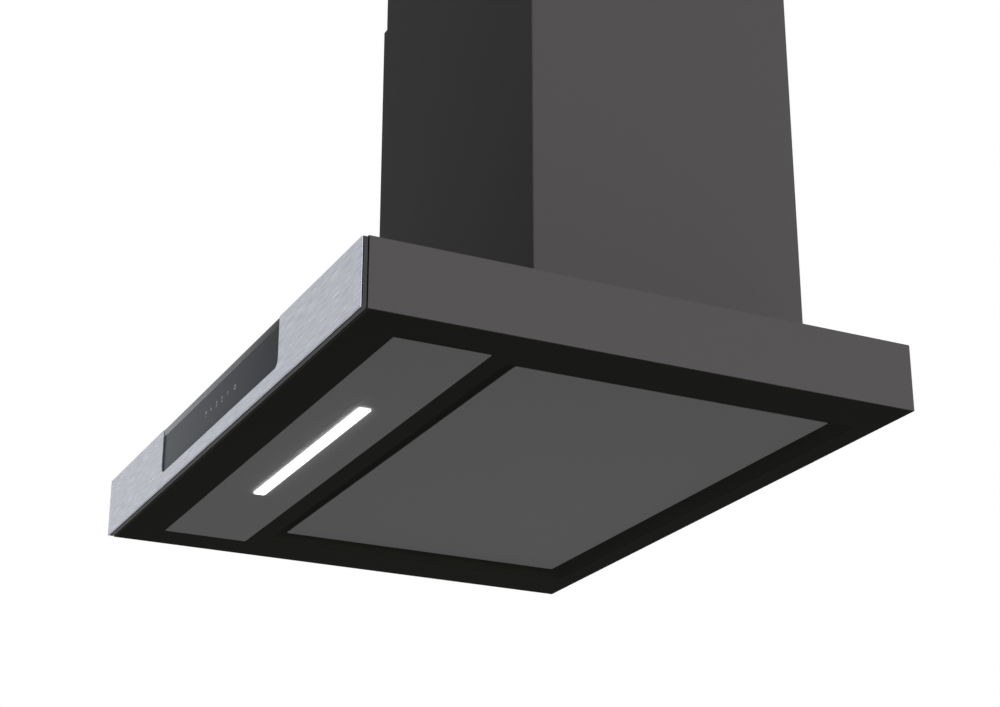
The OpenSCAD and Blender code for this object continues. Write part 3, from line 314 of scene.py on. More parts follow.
        # Painted light: 0 at the underside's face, rising to 1 up inside the suction gap
        if self.pattern is Pattern.GAP_PAINTED_LIGHT:
            return add_node(
                tree, "ShaderNodeMapRange",
                {"Value": place_along(tree, "Z"), "From Min": GAP_START * MM, "From Max": self.grain[2] * MM},
            ).outputs["Result"]
        place = add_node(tree, "ShaderNodeTexCoord").outputs["Object"]
        leaned = add_node(
            tree, "ShaderNodeMapping", {"Vector": place, "Rotation": (0.0, radians(self.turn), 0.0)},
        )
        scale = [1 / (size * MM) for size in self.grain]
        scaled = add_node(
            tree, "ShaderNodeMapping", {"Vector": leaned.outputs["Vector"], "Scale": scale},
        ).outputs["Vector"]
        if self.pattern is Pattern.SPANGLED:
            cells = add_node(
                tree, "ShaderNodeTexVoronoi", {"Vector": scaled, "Scale": 1.0, "Randomness": 1.0},
            )
            return cells.outputs["Color"]
        if self.pattern is Pattern.STACKED:
            bands = add_node(
                tree, "ShaderNodeTexWave",
                {"Vector": scaled, "Scale": WAVE_SCALE, "Distortion": BAND_WAVER, "Detail": 1.0},
                wave_type="BANDS", bands_direction="X", wave_profile="SIN",
            )
            return bands.outputs["Fac"]
        noise = add_node(
            tree, "ShaderNodeTexNoise",
            {
                "Vector": scaled, "Scale": 1.0, "Detail": NOISE_DETAIL[self.pattern],
                "Roughness": NOISE_ROUGHNESS,
            },
        )
        return add_node(
            tree, "ShaderNodeMapRange",
            {"Value": noise.outputs["Fac"], "From Min": NOISE_LOW, "From Max": NOISE_HIGH},
        ).outputs["Result"]


# Powder-coated sheet steel: an even dark grey with a very fine orange peel
GREY_PAINT = Finish(
    "Powder coated steel, grey", "painted_grey", "#545253", "#575556", Pattern.COATED,
    (0.9, 0.9, 0.9), relief=0.004, roughness=0.6, spread=0.03, specular=0.03,
)
# The same on the canopy, whose cut edges below are black from the underside's coat
CANOPY_PAINT = replace(GREY_PAINT, name="Powder coated steel, grey, canopy", cut_edge="#151513")
# The same coating on the two flat panels of the underside, a shade more neutral
GREY_PANEL = replace(
    GREY_PAINT, name="Powder coated steel, grey, panels", colour="#515151", second="#545454",
)
# Matt black coating, so dull that it hides every seam. Inside the suction gap it has painted light:
# a paler colour and a faint glow in place of the light that walls there throw at each other,
# which keeps the gap from reading as a deeper black than the frame
BLACK_WELL = Finish(
    "Powder coated steel, black, painted light in gap", "painted_black", "#151513", "#1E1E1B", Pattern.GAP_PAINTED_LIGHT,
    (0.6, 0.6, 0.2), relief=0.0, roughness=0.85, spread=0.0, specular=0.015, glow=0.75,
)
# Stainless steel ground along its length: short bright and dull streaks, two degrees out
# of level. Real streaks are a tenth of a millimetre wide and are drawn coarser here
BRUSHED_STEEL = Finish(
    "Brushed stainless steel", "brushed_front", "#C6C9D2", "#898D97", Pattern.BRUSHED,
    (22.0, 4.0, 0.42), turn=2.0, relief=0.01, roughness=0.34, spread=0.1, metallic=1.0,
)
# Injection-moulded ABS, dark grey and satin
GREY_ABS = Finish(
    "Moulded ABS, grey", "grey_moulding", "#414042", "#454446", Pattern.COATED,
    (0.6, 0.6, 0.6), relief=0.006, roughness=0.5, spread=0.04, specular=0.05,
)
# Foam rubber strip: open dull pores
FOAM_RUBBER = Finish(
    "Foam rubber", "black_rubber", "#0C0C0C", "#141414", Pattern.COATED,
    (0.5, 0.5, 0.5), relief=0.05, roughness=0.9, spread=0.05, specular=0.05,
)
# Acrylic bonding tape: dark, slightly shiny, drawn along its length
BONDING_TAPE = Finish(
    "Acrylic bonding tape", "bond", "#121214", "#1A1A1D", Pattern.BRUSHED,
    (6.0, 1.0, 1.0), relief=0.01, roughness=0.6, spread=0.08, specular=0.05,
)
# Toughened glass with a smoky print behind, glossy. Its paling towards -X is a painted reflection
DARK_GLASS = Finish(
    "Back-printed toughened glass, painted reflection", "tinted_glass", "#1C2033", "#7E858F", Pattern.SHADED,
    (300.0, 300.0, 300.0), relief=0.0, roughness=0.1, spread=0.0, specular=0.02,
)
# The same glass where its edge is ground, satin. Its colour is a painted reflection: much paler than the
# face, and paler towards -X
GROUND_GLASS = Finish(
    "Ground glass edge, painted reflection", "tinted_glass", "#45474F", "#F2F4F6", Pattern.SHADED,
    (300.0, 300.0, 300.0), relief=0.0, roughness=0.4, spread=0.0, specular=0.1,
)
# Screen-printed ink of the touch marks: pale grey and matt, with a little light in it
PALE_INK = Finish(
    "Screen-printed ink, pale", "white_moulding", "#D9DBDD", "#CED0D2", Pattern.COATED,
    (0.3, 0.3, 0.3), relief=0.002, roughness=0.6, spread=0.05, glow=0.25,
)
# Opal acrylic in front of the diodes: milky, evenly bright
OPAL_PMMA = Finish(
    "Opal acrylic", "white_diffuser", "#FFFFFF", "#F7F9FB", Pattern.MILKY,
    (25.0, 12.0, 12.0), relief=0.001, roughness=0.45, spread=0.03, glow=30.0,
)
# White solder mask of the diode board: a smooth, half-gloss white
WHITE_MASK = Finish(
    "White solder mask", "white_board", "#ECECE8", "#DEDED8", Pattern.COATED,
    (1.6, 1.6, 1.6), relief=0.01, roughness=0.35, spread=0.06,
)
# Green solder mask over copper tracks, which show as faint ridges
GREEN_MASK = Finish(
    "Green solder mask", "circuit_board", "#1C4630", "#265C40", Pattern.STACKED,
    (2.2, 2.2, 2.2), relief=0.03, roughness=0.3, spread=0.05,
)
# Moulded polycarbonate of the boxes, catches, glides and driver: off-white, with a fine
# spark-eroded grain
PALE_PC = Finish(
    "Moulded polycarbonate, off-white", "white_moulding", "#D8D8D2", "#CDCDC6", Pattern.COATED,
    (0.8, 0.8, 0.8), relief=0.012, roughness=0.45, spread=0.06,
)
# Glass-filled polypropylene of the blower's housing, wheel, collar and flaps: black, with
# a grain that the fibres leave
BLACK_PP = Finish(
    "Glass-filled polypropylene, black", "black_moulding", "#26272A", "#313236", Pattern.COATED,
    (0.9, 0.9, 0.9), relief=0.02, roughness=0.5, spread=0.08, specular=0.4,
)
# Aluminium as rolled, for frames and expanded mesh: faint rolling lines
ROLLED_ALUMINIUM = Finish(
    "Rolled aluminium", "raw_aluminium", "#C3C5C8", "#B2B4B8", Pattern.BRUSHED,
    (14.0, 0.8, 0.8), relief=0.004, roughness=0.38, spread=0.08, metallic=1.0,
)
# Hot-dip galvanised sheet: crystals a few millimetres across
ZINC_SHEET = Finish(
    "Galvanised steel sheet", "galvanised", "#A8ABAE", "#8E9295", Pattern.SPANGLED,
    (7.0, 7.0, 7.0), relief=0.003, roughness=0.42, spread=0.1, metallic=1.0,
)
# Zinc-plated small parts: thin bright plating with a cloudy tone
ZINC_PLATE = Finish(
    "Zinc-plated steel", "zinc_plated", "#B4B5B8", "#A2A4A8", Pattern.COATED,
    (1.5, 1.5, 1.5), relief=0.003, roughness=0.3, spread=0.07, metallic=1.0,
)
# Ground silver steel: rings of the grinding wheel around the shaft
GROUND_STEEL = Finish(
    "Ground steel", "ground_steel", "#C8CACC", "#B6B8BB", Pattern.STACKED,
    (0.6, 40.0, 40.0), relief=0.002, roughness=0.2, spread=0.05, metallic=1.0,
)
# Stacked motor laminations and drawn end shields: fine rings along the shaft
LAMINATED_STEEL = Finish(
    "Stacked electrical steel", "cast_metal", "#7B7D80", "#606265", Pattern.STACKED,
    (1.0, 60.0, 60.0), relief=0.05, roughness=0.45, spread=0.08, metallic=1.0,
)
# Enamelled copper wire: turns lying side by side
ENAMELLED_COPPER = Finish(
    "Enamelled copper wire", "copper_wire", "#B0682F", "#7C431B", Pattern.STACKED,
    (0.9, 30.0, 30.0), relief=0.25, roughness=0.35, spread=0.08, metallic=1.0, coat=0.3,
)
# PVC sheath of the flat leads: ribbed along the cores
PVC_SHEATH = Finish(
    "PVC lead sheath", "lead_sheath", "#2E2E2E", "#3A3A3A", Pattern.STACKED,
    (1.3, 1.3, 60.0), relief=0.15, roughness=0.5, spread=0.06, specular=0.4,
)

NODE_FINISHES: dict[str, Finish] = {
    "canopy_shell": CANOPY_PAINT, "lower_chimney": GREY_PAINT, "upper_chimney": GREY_PAINT,
    "lamp_panel": GREY_PANEL, "cover_skin": GREY_PANEL,
    "bottom_frame": BLACK_WELL, "filter_shelf": BLACK_WELL, "cover_tray": BLACK_WELL,
    "fascia_steel": BRUSHED_STEEL, "front_carrier": GREY_ABS, "front_seal": FOAM_RUBBER,
    "fascia_bond": BONDING_TAPE, "control_glass": DARK_GLASS, "touch_board": GREEN_MASK,
    "light_diffuser": OPAL_PMMA, "light_board": WHITE_MASK, "light_channel": ROLLED_ALUMINIUM,
    "lamp_driver": PALE_PC, "cover_catches": PALE_PC, "chimney_glides": PALE_PC,
    "control_box": PALE_PC, "control_lid": PALE_PC, "capacitor": PALE_PC,
    "hinge_pins": ZINC_PLATE, "hinge_brackets": ZINC_PLATE, "catch_studs": ZINC_PLATE,
    "front_screws": ZINC_PLATE, "chimney_screws": ZINC_PLATE, "upper_screws": ZINC_PLATE,
    "filter_frame_left": ROLLED_ALUMINIUM, "filter_frame_right": ROLLED_ALUMINIUM,
    "filter_mesh_left": ROLLED_ALUMINIUM, "filter_mesh_right": ROLLED_ALUMINIUM,
    "latch_left": BLACK_PP, "latch_right": BLACK_PP,
    "scroll_left": BLACK_PP, "scroll_right": BLACK_PP, "blower_wheel": BLACK_PP,
    "outlet_adapter": BLACK_PP, "duct_collar": BLACK_PP, "cord_gland": BLACK_PP,
    "flap_front": BLACK_PP, "flap_rear": BLACK_PP,
    "blower_box": ZINC_SHEET, "rear_frame": ZINC_SHEET, "wall_rail": ZINC_SHEET,
    "motor_bracket": ZINC_SHEET, "upper_bracket": ZINC_SHEET,
    "wheel_shaft": GROUND_STEEL, "flap_pin": GROUND_STEEL, "motor_bearings": GROUND_STEEL,
    "motor_rotor": LAMINATED_STEEL, "motor_stator": LAMINATED_STEEL, "motor_shields": LAMINATED_STEEL,
    "motor_windings": ENAMELLED_COPPER,
    "lamp_lead": PVC_SHEATH, "touch_lead": PVC_SHEATH, "motor_lead": PVC_SHEATH,
}


class Finisher:
    """Makes each finish once and hands it out."""

    def __init__(self) -> None:
        """Starts with no material made."""
        self._made: dict[Finish, bpy.types.Material] = {}

    def material(self, finish: Finish) -> bpy.types.Material:
        """Gives the material of a finish.

        Args:
            finish: The finish that is wanted.

        Returns:
            Its material, made at the first call.
        """
        if finish not in self._made:
            self._made[finish] = finish.build()
        return self._made[finish]

    def dress(self, piece: bpy.types.Object, finish: Finish) -> None:
        """Gives a piece one finish.

        Args:
            piece: A scene piece or a CAD node's object.
            finish: The finish for all its faces.
        """
        material = self.material(finish)
        if piece.material_slots:
            for slot in piece.material_slots:
                slot.material = material
        else:
            piece.data.materials.append(material)

    def dress_nodes(self) -> None:
        """Gives every CAD node its finish."""
        for name, finish in NODE_FINISHES.items():
            self.dress(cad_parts[name], finish)
        LOG.info("dressed %d nodes", len(NODE_FINISHES))


# Surfaces


def ring_faces(rings: int, points: int) -> np.ndarray:
    """Joins each closed ring of points to the next one with four-sided faces.

    Args:
        rings: Number of rings.
        points: Number of points in each ring.

    Returns:
        Array of point numbers, four to a face.
    """
    i, j = np.meshgrid(np.arange(rings - 1), np.arange(points), indexing="ij")
    here, beside = i.ravel() * points, (i.ravel() + 1) * points
    j = j.ravel()
    j2 = (j + 1) % points
    return np.stack([here + j, beside + j, beside + j2, here + j2], axis=1)


def swept_bar(path: np.ndarray, side: np.ndarray, up: np.ndarray, width: float, height: float) -> Mesh:
    """Carries a rectangle along an open path.

    Each corner is the path's point plus or minus half the width along its side vector
    and half the height along its up vector. An end face closes it each way.

    Args:
        path: Points of the path, one row each.
        side: Unit vector across the bar at each point.
        up: Unit vector through the bar at each point.
        width: Size along side.
        height: Size along up.

    Returns:
        Vertices and faces.
    """
    corners = np.array([[-1, -1], [-1, 1], [1, 1], [1, -1]]) / 2
    offsets = corners[:, 0, None, None] * width * side + corners[:, 1, None, None] * height * up
    vertices = (path[None] + offsets).transpose(1, 0, 2).reshape(-1, 3)
    first = np.arange(len(corners))
    faces = ring_faces(len(path), len(corners)).tolist()
    faces += [first.tolist(), (first + len(vertices) - len(corners))[::-1].tolist()]
    return vertices, faces


def joined(parts: Sequence[Mesh]) -> Mesh:
    """Puts several meshes into one.

    Args:
        parts: Vertices and faces of each.

    Returns:
        Vertices and faces of all of them.
    """
    vertices, faces, start = [], [], 0
    for part_vertices, part_faces in parts:
        vertices.append(part_vertices)
        faces += [[start + n for n in face] for face in part_faces]
        start += len(part_vertices)
    return np.concatenate(vertices), faces


def add_piece(
    name: str, body: str, mesh: Mesh, finisher: Finisher, finish: Finish, smooth_angle: float = 30.0,
) -> bpy.types.Object:
    """Makes a piece from points in millimetres, with its finish, and puts it on a body.

    Args:
        name: The piece's name.
        body: CAD body that it rides on.
        mesh: Its vertices in millimetres, and its faces.
        finisher: Hands out the material.
        finish: The piece's finish.
        smooth_angle: Faces that meet at less than this angle in degrees shade smooth.

    Returns:
        The new object, at the origin.
    """
    vertices, faces = mesh
    data = bpy.data.meshes.new(name)
    data.from_pydata((vertices * MM).tolist(), [], faces)
    data.validate()
    data.set_sharp_from_angle(angle=radians(smooth_angle))
    piece = bpy.data.objects.new(name, data)
    bpy.context.scene.collection.objects.link(piece)
    finisher.dress(piece, finish)
    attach(piece, body)
    LOG.info("%s: %d faces on %s", name, len(faces), body)
    return piece


# Control glass


@dataclass
class GlassStrip:
    """The strip that closes the top of the window in front of the glass's bevel.

    Attributes:
        proud: How far its front stands before the flat face of the glass.
        rise: Height over which its lower face slopes out from the glass.
        edge: Bevel along its top front edge.
        bevel_h: Height of the glass's bevel.
        bevel_d: Depth of the glass's bevel.
        lap: How far the glass reaches past the window at either end, and the strip's clearance.
        seat: Thickness of the bond between strip and glass.
    """

    proud: float = 0.9
    rise: float = 1.6
    edge: float = 0.3
    bevel_h: float = 5.5
    bevel_d: float = 1.6
    lap: float = 2.15
    seat: float = 0.02

    def build(self, finisher: Finisher) -> None:
        """Carries the strip's outline from one end of the window to the other.

        The outline is a wedge: up the front, over the top and down along the bevel.

        Args:
            finisher: Hands out the materials.
        """
        low, high = (np.array(corner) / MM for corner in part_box("control_glass"))
        face, top = low[1], high[2]
        foot = top - self.bevel_h
        outline = np.array([
            [face - self.seat, foot],
            [face - self.proud, foot + self.rise],
            [face - self.proud, top - self.edge],
            [face - self.proud + self.edge, top],
            [face + self.bevel_d - self.seat, top],
        ])
        ends = np.array([low[0] + self.lap, high[0] - self.lap])
        count = len(outline)
        vertices = np.column_stack([np.repeat(ends, count), np.tile(outline, (len(ends), 1))])
        faces = ring_faces(len(ends), count).tolist()
        faces += [list(range(count)), list(range(count, 2 * count))[::-1]]
        add_piece("glass_strip", HOOD, (vertices, faces), finisher, GROUND_GLASS)


@dataclass
class TouchMarks:
    """Six small printed signs on the control glass: on and off, three speeds, more, and lamp.

    Attributes:
        centres: Places of the signs along X.
        height: Height of the row above the underside.
        sign: Height of one sign.
        stroke: Width of the printed line.
        ink: Thickness of the ink.
        arc_steps: Points along a round stroke.
    """

    centres: tuple[float, ...] = (39.9, 23.4, 9.2, -4.0, -17.4, -29.7)
    height: float = 31.0
    sign: float = 4.2
    stroke: float = 0.45
    ink: float = 0.06
    arc_steps: int = 28

    def build(self, finisher: Finisher) -> None:
        """Prints the signs on the glass.

        Args:
            finisher: Hands out the materials.
        """
        face_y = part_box("control_glass")[0][1] / MM
        parts = []
        for centre, strokes in zip(self.centres, self._drawings()):
            for points in strokes:
                parts.append(self._stroke(points * self.sign / 2, centre, face_y))
        add_piece("touch_marks", HOOD, joined(parts), finisher, PALE_INK)

    def _drawings(self) -> list[list[np.ndarray]]:
        """Draws the signs, with their middle at 0 and their height from -1 to 1.

        Returns:
            For each sign its strokes, as points across and up.
        """
        bowl, slant, plus, bulb, base = 0.5, (0.43, 0.25), 0.7, 0.62, 0.3
        power = [self._arc(1.0, 125, 415), self._line((0, 0.2), (0, 1.05))]
        one = [self._line((0, -1), (0, 1)), self._line((-0.45, 0.55), (0, 1))]
        two = [
            self._arc(bowl, -30, 180, rise=bowl),
            self._line(slant, (-bowl, -1)),
            self._line((-bowl, -1), (1.1 * bowl, -1)),
        ]
        three = [self._arc(bowl, -90, 150, rise=bowl), self._arc(bowl, -150, 90, rise=-bowl)]
        more = [self._line((-plus, 0), (plus, 0)), self._line((0, -plus), (0, plus))]
        lamp = [self._arc(bulb, -50, 230, rise=base), self._line((-base, -1), (base, -1))]
        return [power, one, two, three, more, lamp]

    def _arc(self, radius: float, start: float, end: float, rise: float = 0.0) -> np.ndarray:
        """Gives points of an arc: (radius cos a, radius sin a + rise), with a from start to end.

        Args:
            radius: Radius of the arc.
            start: First angle in degrees, from across towards up.
            end: Last angle in degrees.
            rise: Height of the arc's middle.

        Returns:
            Points, one row each.
        """
        a = np.radians(np.linspace(start, end, self.arc_steps))
        return np.stack([radius * np.cos(a), radius * np.sin(a) + rise], axis=1)

    def _line(self, start: tuple[float, float], end: tuple[float, float]) -> np.ndarray:
        """Gives the two ends of a straight stroke."""
        return np.array([start, end], dtype=float)

    def _stroke(self, points: np.ndarray, centre: float, face_y: float) -> Mesh:
        """Turns a flat line into a thin bar of ink that stands half in the glass.

        Args:
            points: Places in the sign, across and up.
            centre: Place of the sign along X.
            face_y: Place of the glass face along Y.

        Returns:
            Vertices and faces.
        """
        x, z = points[:, 0] + centre, points[:, 1] + self.height
        path = np.stack([x, np.full_like(x, face_y), z], axis=1)
        along = np.gradient(path, axis=0)
        along /= np.linalg.norm(along, axis=1, keepdims=True)
        up = np.tile([0.0, 1.0, 0.0], (len(path), 1))
        return swept_bar(path, np.cross(up, along), up, self.stroke, self.ink)


# Grease filters


class Side(Enum):
    """Which of the two filters, as seen from in front."""

    LEFT = "left"
    RIGHT = "right"


@dataclass
class ExpandedMesh:
    """Layers of expanded aluminium in one grease filter.

    Attributes:
        strands: Number of strands in a layer.
        steps: Points along a strand.
        layers: Number of layers.
        bar: Width of a strand.
        thickness: Thickness of a strand.
        tilt: How far a strand's bends rise and fall.
        house_w: Width that is left free for the latch's housing.
        house_l: Length that is left free for it, from the front of the mesh.
    """

    strands: int = 26
    steps: int = 53
    layers: int = 3
    bar: float = 1.5
    thickness: float = 0.6
    tilt: float = 0.5
    house_w: float = 39.0
    house_l: float = 20.0

    def build(self, side: Side, finisher: Finisher) -> None:
        """Fills one filter frame with mesh, in place of its CAD stand-in.

        Args:
            side: Which filter.
            finisher: Hands out the materials.
        """
        node = f"filter_mesh_{side.value}"
        low, high = (np.array(corner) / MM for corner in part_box(node))
        parts = []
        for layer in range(self.layers):
            for row in range(self.strands):
                parts += self._strand(low, high, row, layer)
        piece = add_piece(f"expanded_mesh_{side.value}", HOOD, joined(parts), finisher, ROLLED_ALUMINIUM)
        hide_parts(node)

    def _strand(self, low: np.ndarray, high: np.ndarray, row: int, layer: int) -> list[Mesh]:
        """Makes one zigzag strand across the filter, in two lengths where the latch is.

        The strand runs along X. Its place along Y is the middle of its row plus a triangle
        wave of half the pitch, turned over from one row to the next, so that neighbouring
        strands meet at their bends, and it is kept inside the mesh. Its height is the
        layer's middle plus a small wave.

        Args:
            low: Low corner of the mesh.
            high: High corner of the mesh.
            row: Number of the row.
            layer: Number of the layer.

        Returns:
            Vertices and faces of each length.
        """
        pitch = (high[1] - low[1] - self.bar) / self.strands
        level = low[2] + (high[2] - low[2]) * (layer + 0.5) / self.layers
        n = np.arange(self.steps)
        x = np.linspace(low[0] + self.bar / 2, high[0] - self.bar / 2, self.steps)
        way = (n + row + layer) % 2 * 2 - 1
        y = low[1] + self.bar / 2 + (row + 0.5) * pitch + way * (pitch / 2 - self.bar / 4)
        y = np.clip(y, low[1] + self.bar, high[1] - self.bar)
        z = level + self.tilt * np.where(n % 2 == 0, 1, -1)
        path = np.stack([x, y, z], axis=1)
        lengths = [path]
        if y.min() - self.bar / 2 < low[1] + self.house_l:
            off = x - (low[0] + high[0]) / 2
            lengths = [path[off < -self.house_w / 2], path[off > self.house_w / 2]]
        across, up = np.eye(3)[1], np.eye(3)[2]
        bars = []
        for length in lengths:
            rows = (len(length), 1)
            bars.append(swept_bar(length, np.tile(across, rows), np.tile(up, rows), self.bar, self.thickness))
        return bars


# Screws


class Facing(Enum):
    """Way that a group's screw heads face, by the number of its axis."""

    SIDE = 0
    BACK = 1
    UP = 2


@dataclass
class CrossHeadScrew:
    """A pan-head screw with a cross recess.

    Attributes:
        head_r: Radius of the head.
        head_h: Height of the head.
        shank_r: Radius of the shank.
        shank_l: Length of the shank.
        recess: Depth of the cross.
        arm: Half the width of one arm of the cross.
        reach: Half the length of the cross.
        arm_edge: How sharply the arms' sides fall away, per millimetre.
        reach_edge: How sharply the arms' ends fall away, per millimetre.
        core: Radius of the innermost ring of the head, against the head's radius.
        tip_r: Radius of the innermost ring at the shank's end.
        rings: Rings of points on the head.
        spokes: Points in a ring.
        cell: Side of the cells that tell one screw of a group from the next.
    """

    head_r: float = 3.6
    head_h: float = 2.2
    shank_r: float = 1.98
    shank_l: float = 4.2
    recess: float = 1.2
    arm: float = 0.5
    reach: float = 2.2
    arm_edge: float = 14.0
    reach_edge: float = 8.0
    core: float = 0.02
    tip_r: float = 0.02
    rings: int = 26
    spokes: int = 72
    cell: float = 14.4

    def surface(self) -> Mesh:
        """Works out the screw, with its head's seat at the origin and its shank down.

        Points go round the axis in rings. The head's height at radius r is
        head_h (1 - (r / head_r)^4)^(1/2), lowered by the recess where the point lies in
        one of two crossed arms. The outline then turns under the head and down the shank.

        Returns:
            Vertices and faces.
        """
        r = np.linspace(self.core, 1.0, self.rings) * self.head_r
        a = np.linspace(0, 2 * pi, self.spokes, endpoint=False)
        rr, aa = np.meshgrid(r, a, indexing="ij")
        x, y = rr * np.cos(aa), rr * np.sin(aa)
        z = self.head_h * np.sqrt(np.clip(1 - (rr / self.head_r) ** 4, 0, 1))
        across, along = np.minimum(abs(x), abs(y)), np.maximum(abs(x), abs(y))
        in_width = 1 / (1 + np.exp((across - self.arm) * self.arm_edge))
        in_length = 1 / (1 + np.exp((along - self.reach) * self.reach_edge))
        top = np.stack([x, y, z - self.recess * in_width * in_length], axis=-1)
        below = [(self.shank_r, 0.0), (self.shank_r, -self.shank_l), (self.tip_r, -self.shank_l)]
        rings = [np.stack([q * np.cos(a), q * np.sin(a), np.full_like(a, h)], axis=-1) for q, h in below]
        points = np.concatenate([top, np.stack(rings)])
        count = len(points)
        faces = ring_faces(count, self.spokes).tolist()
        last = (count - 1) * self.spokes
        faces.append(list(range(self.spokes))[::-1])
        faces.append(list(range(last, last + self.spokes)))
        return points.reshape(-1, 3), [face[::-1] for face in faces]

    def build(self, node: str, body: str, facing: Facing, finisher: Finisher) -> None:
        """Puts screws in place of a CAD group of plain screws.

        Args:
            node: CAD node with the group.
            body: Body that the group is on.
            facing: Way the heads face.
            finisher: Hands out the materials.
        """
        vertices, faces = self.surface()
        parts = []
        for seat, turn in self._seats(node, facing):
            parts.append((vertices @ turn.T + seat, faces))
        piece = add_piece(f"cross_head_{node}", body, joined(parts), finisher, ZINC_PLATE, smooth_angle=40.0)
        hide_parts(node)

    def _seats(self, node: str, facing: Facing) -> list[tuple[np.ndarray, np.ndarray]]:
        """Finds each screw's seat and turn from the separate solids of its CAD node.

        Screws that face the sides are told apart by the side that they are on, and others
        by the cell that they lie in across their axis.

        Args:
            node: CAD node with the group.
            facing: Way the heads face.

        Returns:
            For each screw, the seat in millimetres and a 3 by 3 turn.
        """
        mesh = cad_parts[node].data
        points = np.empty(len(mesh.vertices) * 3)
        mesh.vertices.foreach_get("co", points)
        points = points.reshape(-1, 3) / MM
        axis = facing.value
        keys = np.sign(points[:, :1])
        if facing is not Facing.SIDE:
            keys = np.round(np.delete(points, axis, axis=1) / self.cell)
        seats = []
        for key in np.unique(keys, axis=0):
            group = points[(keys == key).all(axis=1)]
            low, high = group.min(axis=0), group.max(axis=0)
            seat = (low + high) / 2
            way = -1.0 if facing is Facing.SIDE and seat[0] <= 0 else 1.0
            end = high[axis] if way > 0 else low[axis]
            seat[axis] = end - way * self.head_h
            direction = way * np.eye(3)[axis]
            turn = np.array(Vector((0, 0, 1)).rotation_difference(Vector(direction)).to_matrix())
            seats.append((seat, turn))
        return seats


# Studio


@dataclass(frozen=True)
class Lamp:
    """A square area lamp.

    Attributes:
        name: The lamp's name.
        place: Its place in metres.
        target: Point that it faces, in metres.
        size: Side length in metres.
        power: Power in watts.
    """

    name: str
    place: Triple
    target: Triple
    size: float
    power: float

    def build(self) -> None:
        """Adds the lamp, out of the camera's sight."""
        data = bpy.data.lights.new(self.name, "AREA")
        data.shape = "SQUARE"
        data.size = self.size
        data.energy = self.power
        lamp = bpy.data.objects.new(self.name, data)
        lamp.location = self.place
        lamp.rotation_euler = (Vector(self.target) - Vector(self.place)).to_track_quat("-Z", "Y").to_euler()
        lamp.visible_camera = False
        bpy.context.scene.collection.objects.link(lamp)


@dataclass
class Studio:
    """Floor, world and lamps.

    Attributes:
        floor_z: Height of the floor in metres, low enough that it hides nothing in a view
            from below.
        floor_half: Half the floor's side in metres.
        floor_colour: Pale floor, sRGB hex.
        floor_seen: Light on the floor that only the camera and reflections see, so that it looks pale.
        sky_level: Grey of the world for diffuse light.
        lamps: The lamps.
    """

    floor_z: float = -3.2
    floor_half: float = 60.0
    floor_colour: str = "#F4F4F4"
    floor_seen: float = 0.64
    sky_level: float = 0.18
    lamps: tuple[Lamp, ...] = (
        Lamp("Lamp_right", (4.2, 0.25, 0.3), (0.0, -0.1, 0.3), 1.2, 117.0),
        Lamp("Lamp_below", (0.0, -0.1, -1.15), (0.0, -0.15, 0.0), 1.6, 11.0),
        Lamp("Lamp_left", (-2.6, 0.2, 0.8), (0.0, -0.1, 0.3), 1.6, 24.0),
    )

    def build(self) -> None:
        """Sets up the floor, the world and the lamps."""
        self._floor()
        self._world()
        for lamp in self.lamps:
            lamp.build()

    def _floor(self) -> None:
        """Makes the pale floor."""
        mesh = bpy.data.meshes.new("Floor")
        h, z = self.floor_half, self.floor_z
        mesh.from_pydata([(-h, -h, z), (h, -h, z), (h, h, z), (-h, h, z)], [], [(0, 1, 2, 3)])
        floor = bpy.data.objects.new("Floor", mesh)
        bpy.context.scene.collection.objects.link(floor)
        material = bpy.data.materials.new("Pale floor")
        material.use_nodes = True
        tree = material.node_tree
        tree.nodes.clear()
        seen = add_node(
            tree, "ShaderNodeMath", {0: self._seen_rays(tree), 1: self.floor_seen}, operation="MULTIPLY",
        )
        shader = add_node(
            tree, "ShaderNodeBsdfPrincipled",
            {
                "Base Color": linear(self.floor_colour), "Roughness": 0.9, "Specular IOR Level": 0.1,
                "Emission Color": linear("#FFFFFF"), "Emission Strength": seen.outputs[0],
            },
        )
        add_node(tree, "ShaderNodeOutputMaterial", {"Surface": shader.outputs["BSDF"]})
        mesh.materials.append(material)

    def _seen_rays(self, tree: bpy.types.NodeTree) -> bpy.types.NodeSocket:
        """Tells the rays that show the background from those that light the object.

        Args:
            tree: Node tree of the floor or the world.

        Returns:
            Output socket that is 1 for camera, glossy and transmission rays, and 0 for the rest.
        """
        rays = add_node(tree, "ShaderNodeLightPath").outputs
        seen = rays["Is Camera Ray"]
        for name in ("Is Glossy Ray", "Is Transmission Ray"):
            seen = add_node(tree, "ShaderNodeMath", {0: seen, 1: rays[name]}, operation="MAXIMUM").outputs[0]
        return seen

    def _world(self) -> None:
        """Makes the world white to the camera and in reflections, and grey as a light."""
        world = bpy.data.worlds.new("Studio")
        world.use_nodes = True
        tree = world.node_tree
        tree.nodes.clear()
        level = self.sky_level
        grey = add_node(tree, "ShaderNodeBackground", {"Color": (level, level, level, 1.0), "Strength": 1.0})
        white = add_node(tree, "ShaderNodeBackground", {"Color": (1.0, 1.0, 1.0, 1.0), "Strength": 1.0})
        mix = add_node(
            tree, "ShaderNodeMixShader",
            {0: self._seen_rays(tree), 1: grey.outputs[0], 2: white.outputs[0]},
        )
        add_node(tree, "ShaderNodeOutputWorld", {"Surface": mix.outputs[0]})
        bpy.context.scene.world = world


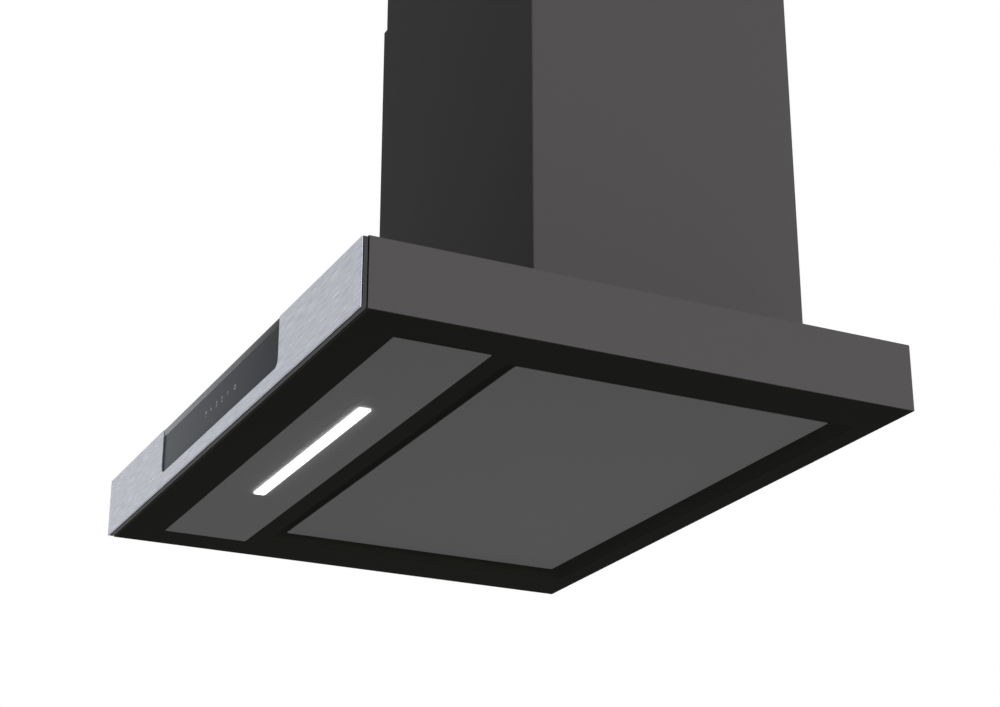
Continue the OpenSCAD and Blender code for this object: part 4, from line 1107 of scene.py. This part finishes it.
@dataclass
class HoodCamera:
    """The camera at the photograph's angle: from below, to the right of the front.

    Attributes:
        place: Place of the camera.
        yaw: Turn about the vertical in degrees, 0 looking along +Y.
        pitch: Angle above the horizon in degrees.
        lens: Focal length.
        film: Width of the frame that the focal length belongs to.
        near: Nearest distance that it sees.
        far: Farthest distance that it sees.
    """

    place: Triple = (1480.3, -939.4, -542.2)
    yaw: float = 63.659
    pitch: float = 21.786
    lens: float = 73.797
    film: float = 36.0
    near: float = 10.0
    far: float = 100000.0

    def build(self) -> None:
        """Adds the camera and makes it the scene's own."""
        data = bpy.data.cameras.new("Camera")
        data.lens = self.lens
        data.sensor_width = self.film
        data.clip_start = self.near * MM
        data.clip_end = self.far * MM
        camera = bpy.data.objects.new("Camera", data)
        camera.location = Vector(self.place) * MM
        camera.rotation_euler = Euler((radians(90 + self.pitch), 0.0, radians(self.yaw)))
        bpy.context.scene.collection.objects.link(camera)
        bpy.context.scene.camera = camera


@dataclass
class RangeHood:
    """The hood's finishes and finer pieces, sub-assembly by sub-assembly.

    Attributes:
        strip: Ground strip of the control glass.
        marks: Signs on the control glass.
        mesh: Expanded mesh of a filter.
        screw: Screw that each group repeats.
    """

    strip: GlassStrip = field(default_factory=GlassStrip)
    marks: TouchMarks = field(default_factory=TouchMarks)
    mesh: ExpandedMesh = field(default_factory=ExpandedMesh)
    screw: CrossHeadScrew = field(default_factory=CrossHeadScrew)

    def build(self, finisher: Finisher) -> None:
        """Dresses the nodes and builds all the pieces.

        Args:
            finisher: Hands out the materials.
        """
        finisher.dress_nodes()
        self.strip.build(finisher)
        self.marks.build(finisher)
        for side in Side:
            self.mesh.build(side, finisher)
        self.screw.build("upper_screws", UPPER, Facing.SIDE, finisher)
        self.screw.build("chimney_screws", HOOD, Facing.UP, finisher)
        self.screw.build("front_screws", HOOD, Facing.BACK, finisher)


def main() -> None:
    """Builds the camera, the studio and the hood."""
    logging.basicConfig(level=logging.INFO, format="%(name)s: %(message)s")
    HoodCamera().build()
    Studio().build()
    RangeHood().build(Finisher())
    bpy.context.scene.view_settings.view_transform = "Standard"


if __name__ == "__main__":
    main()
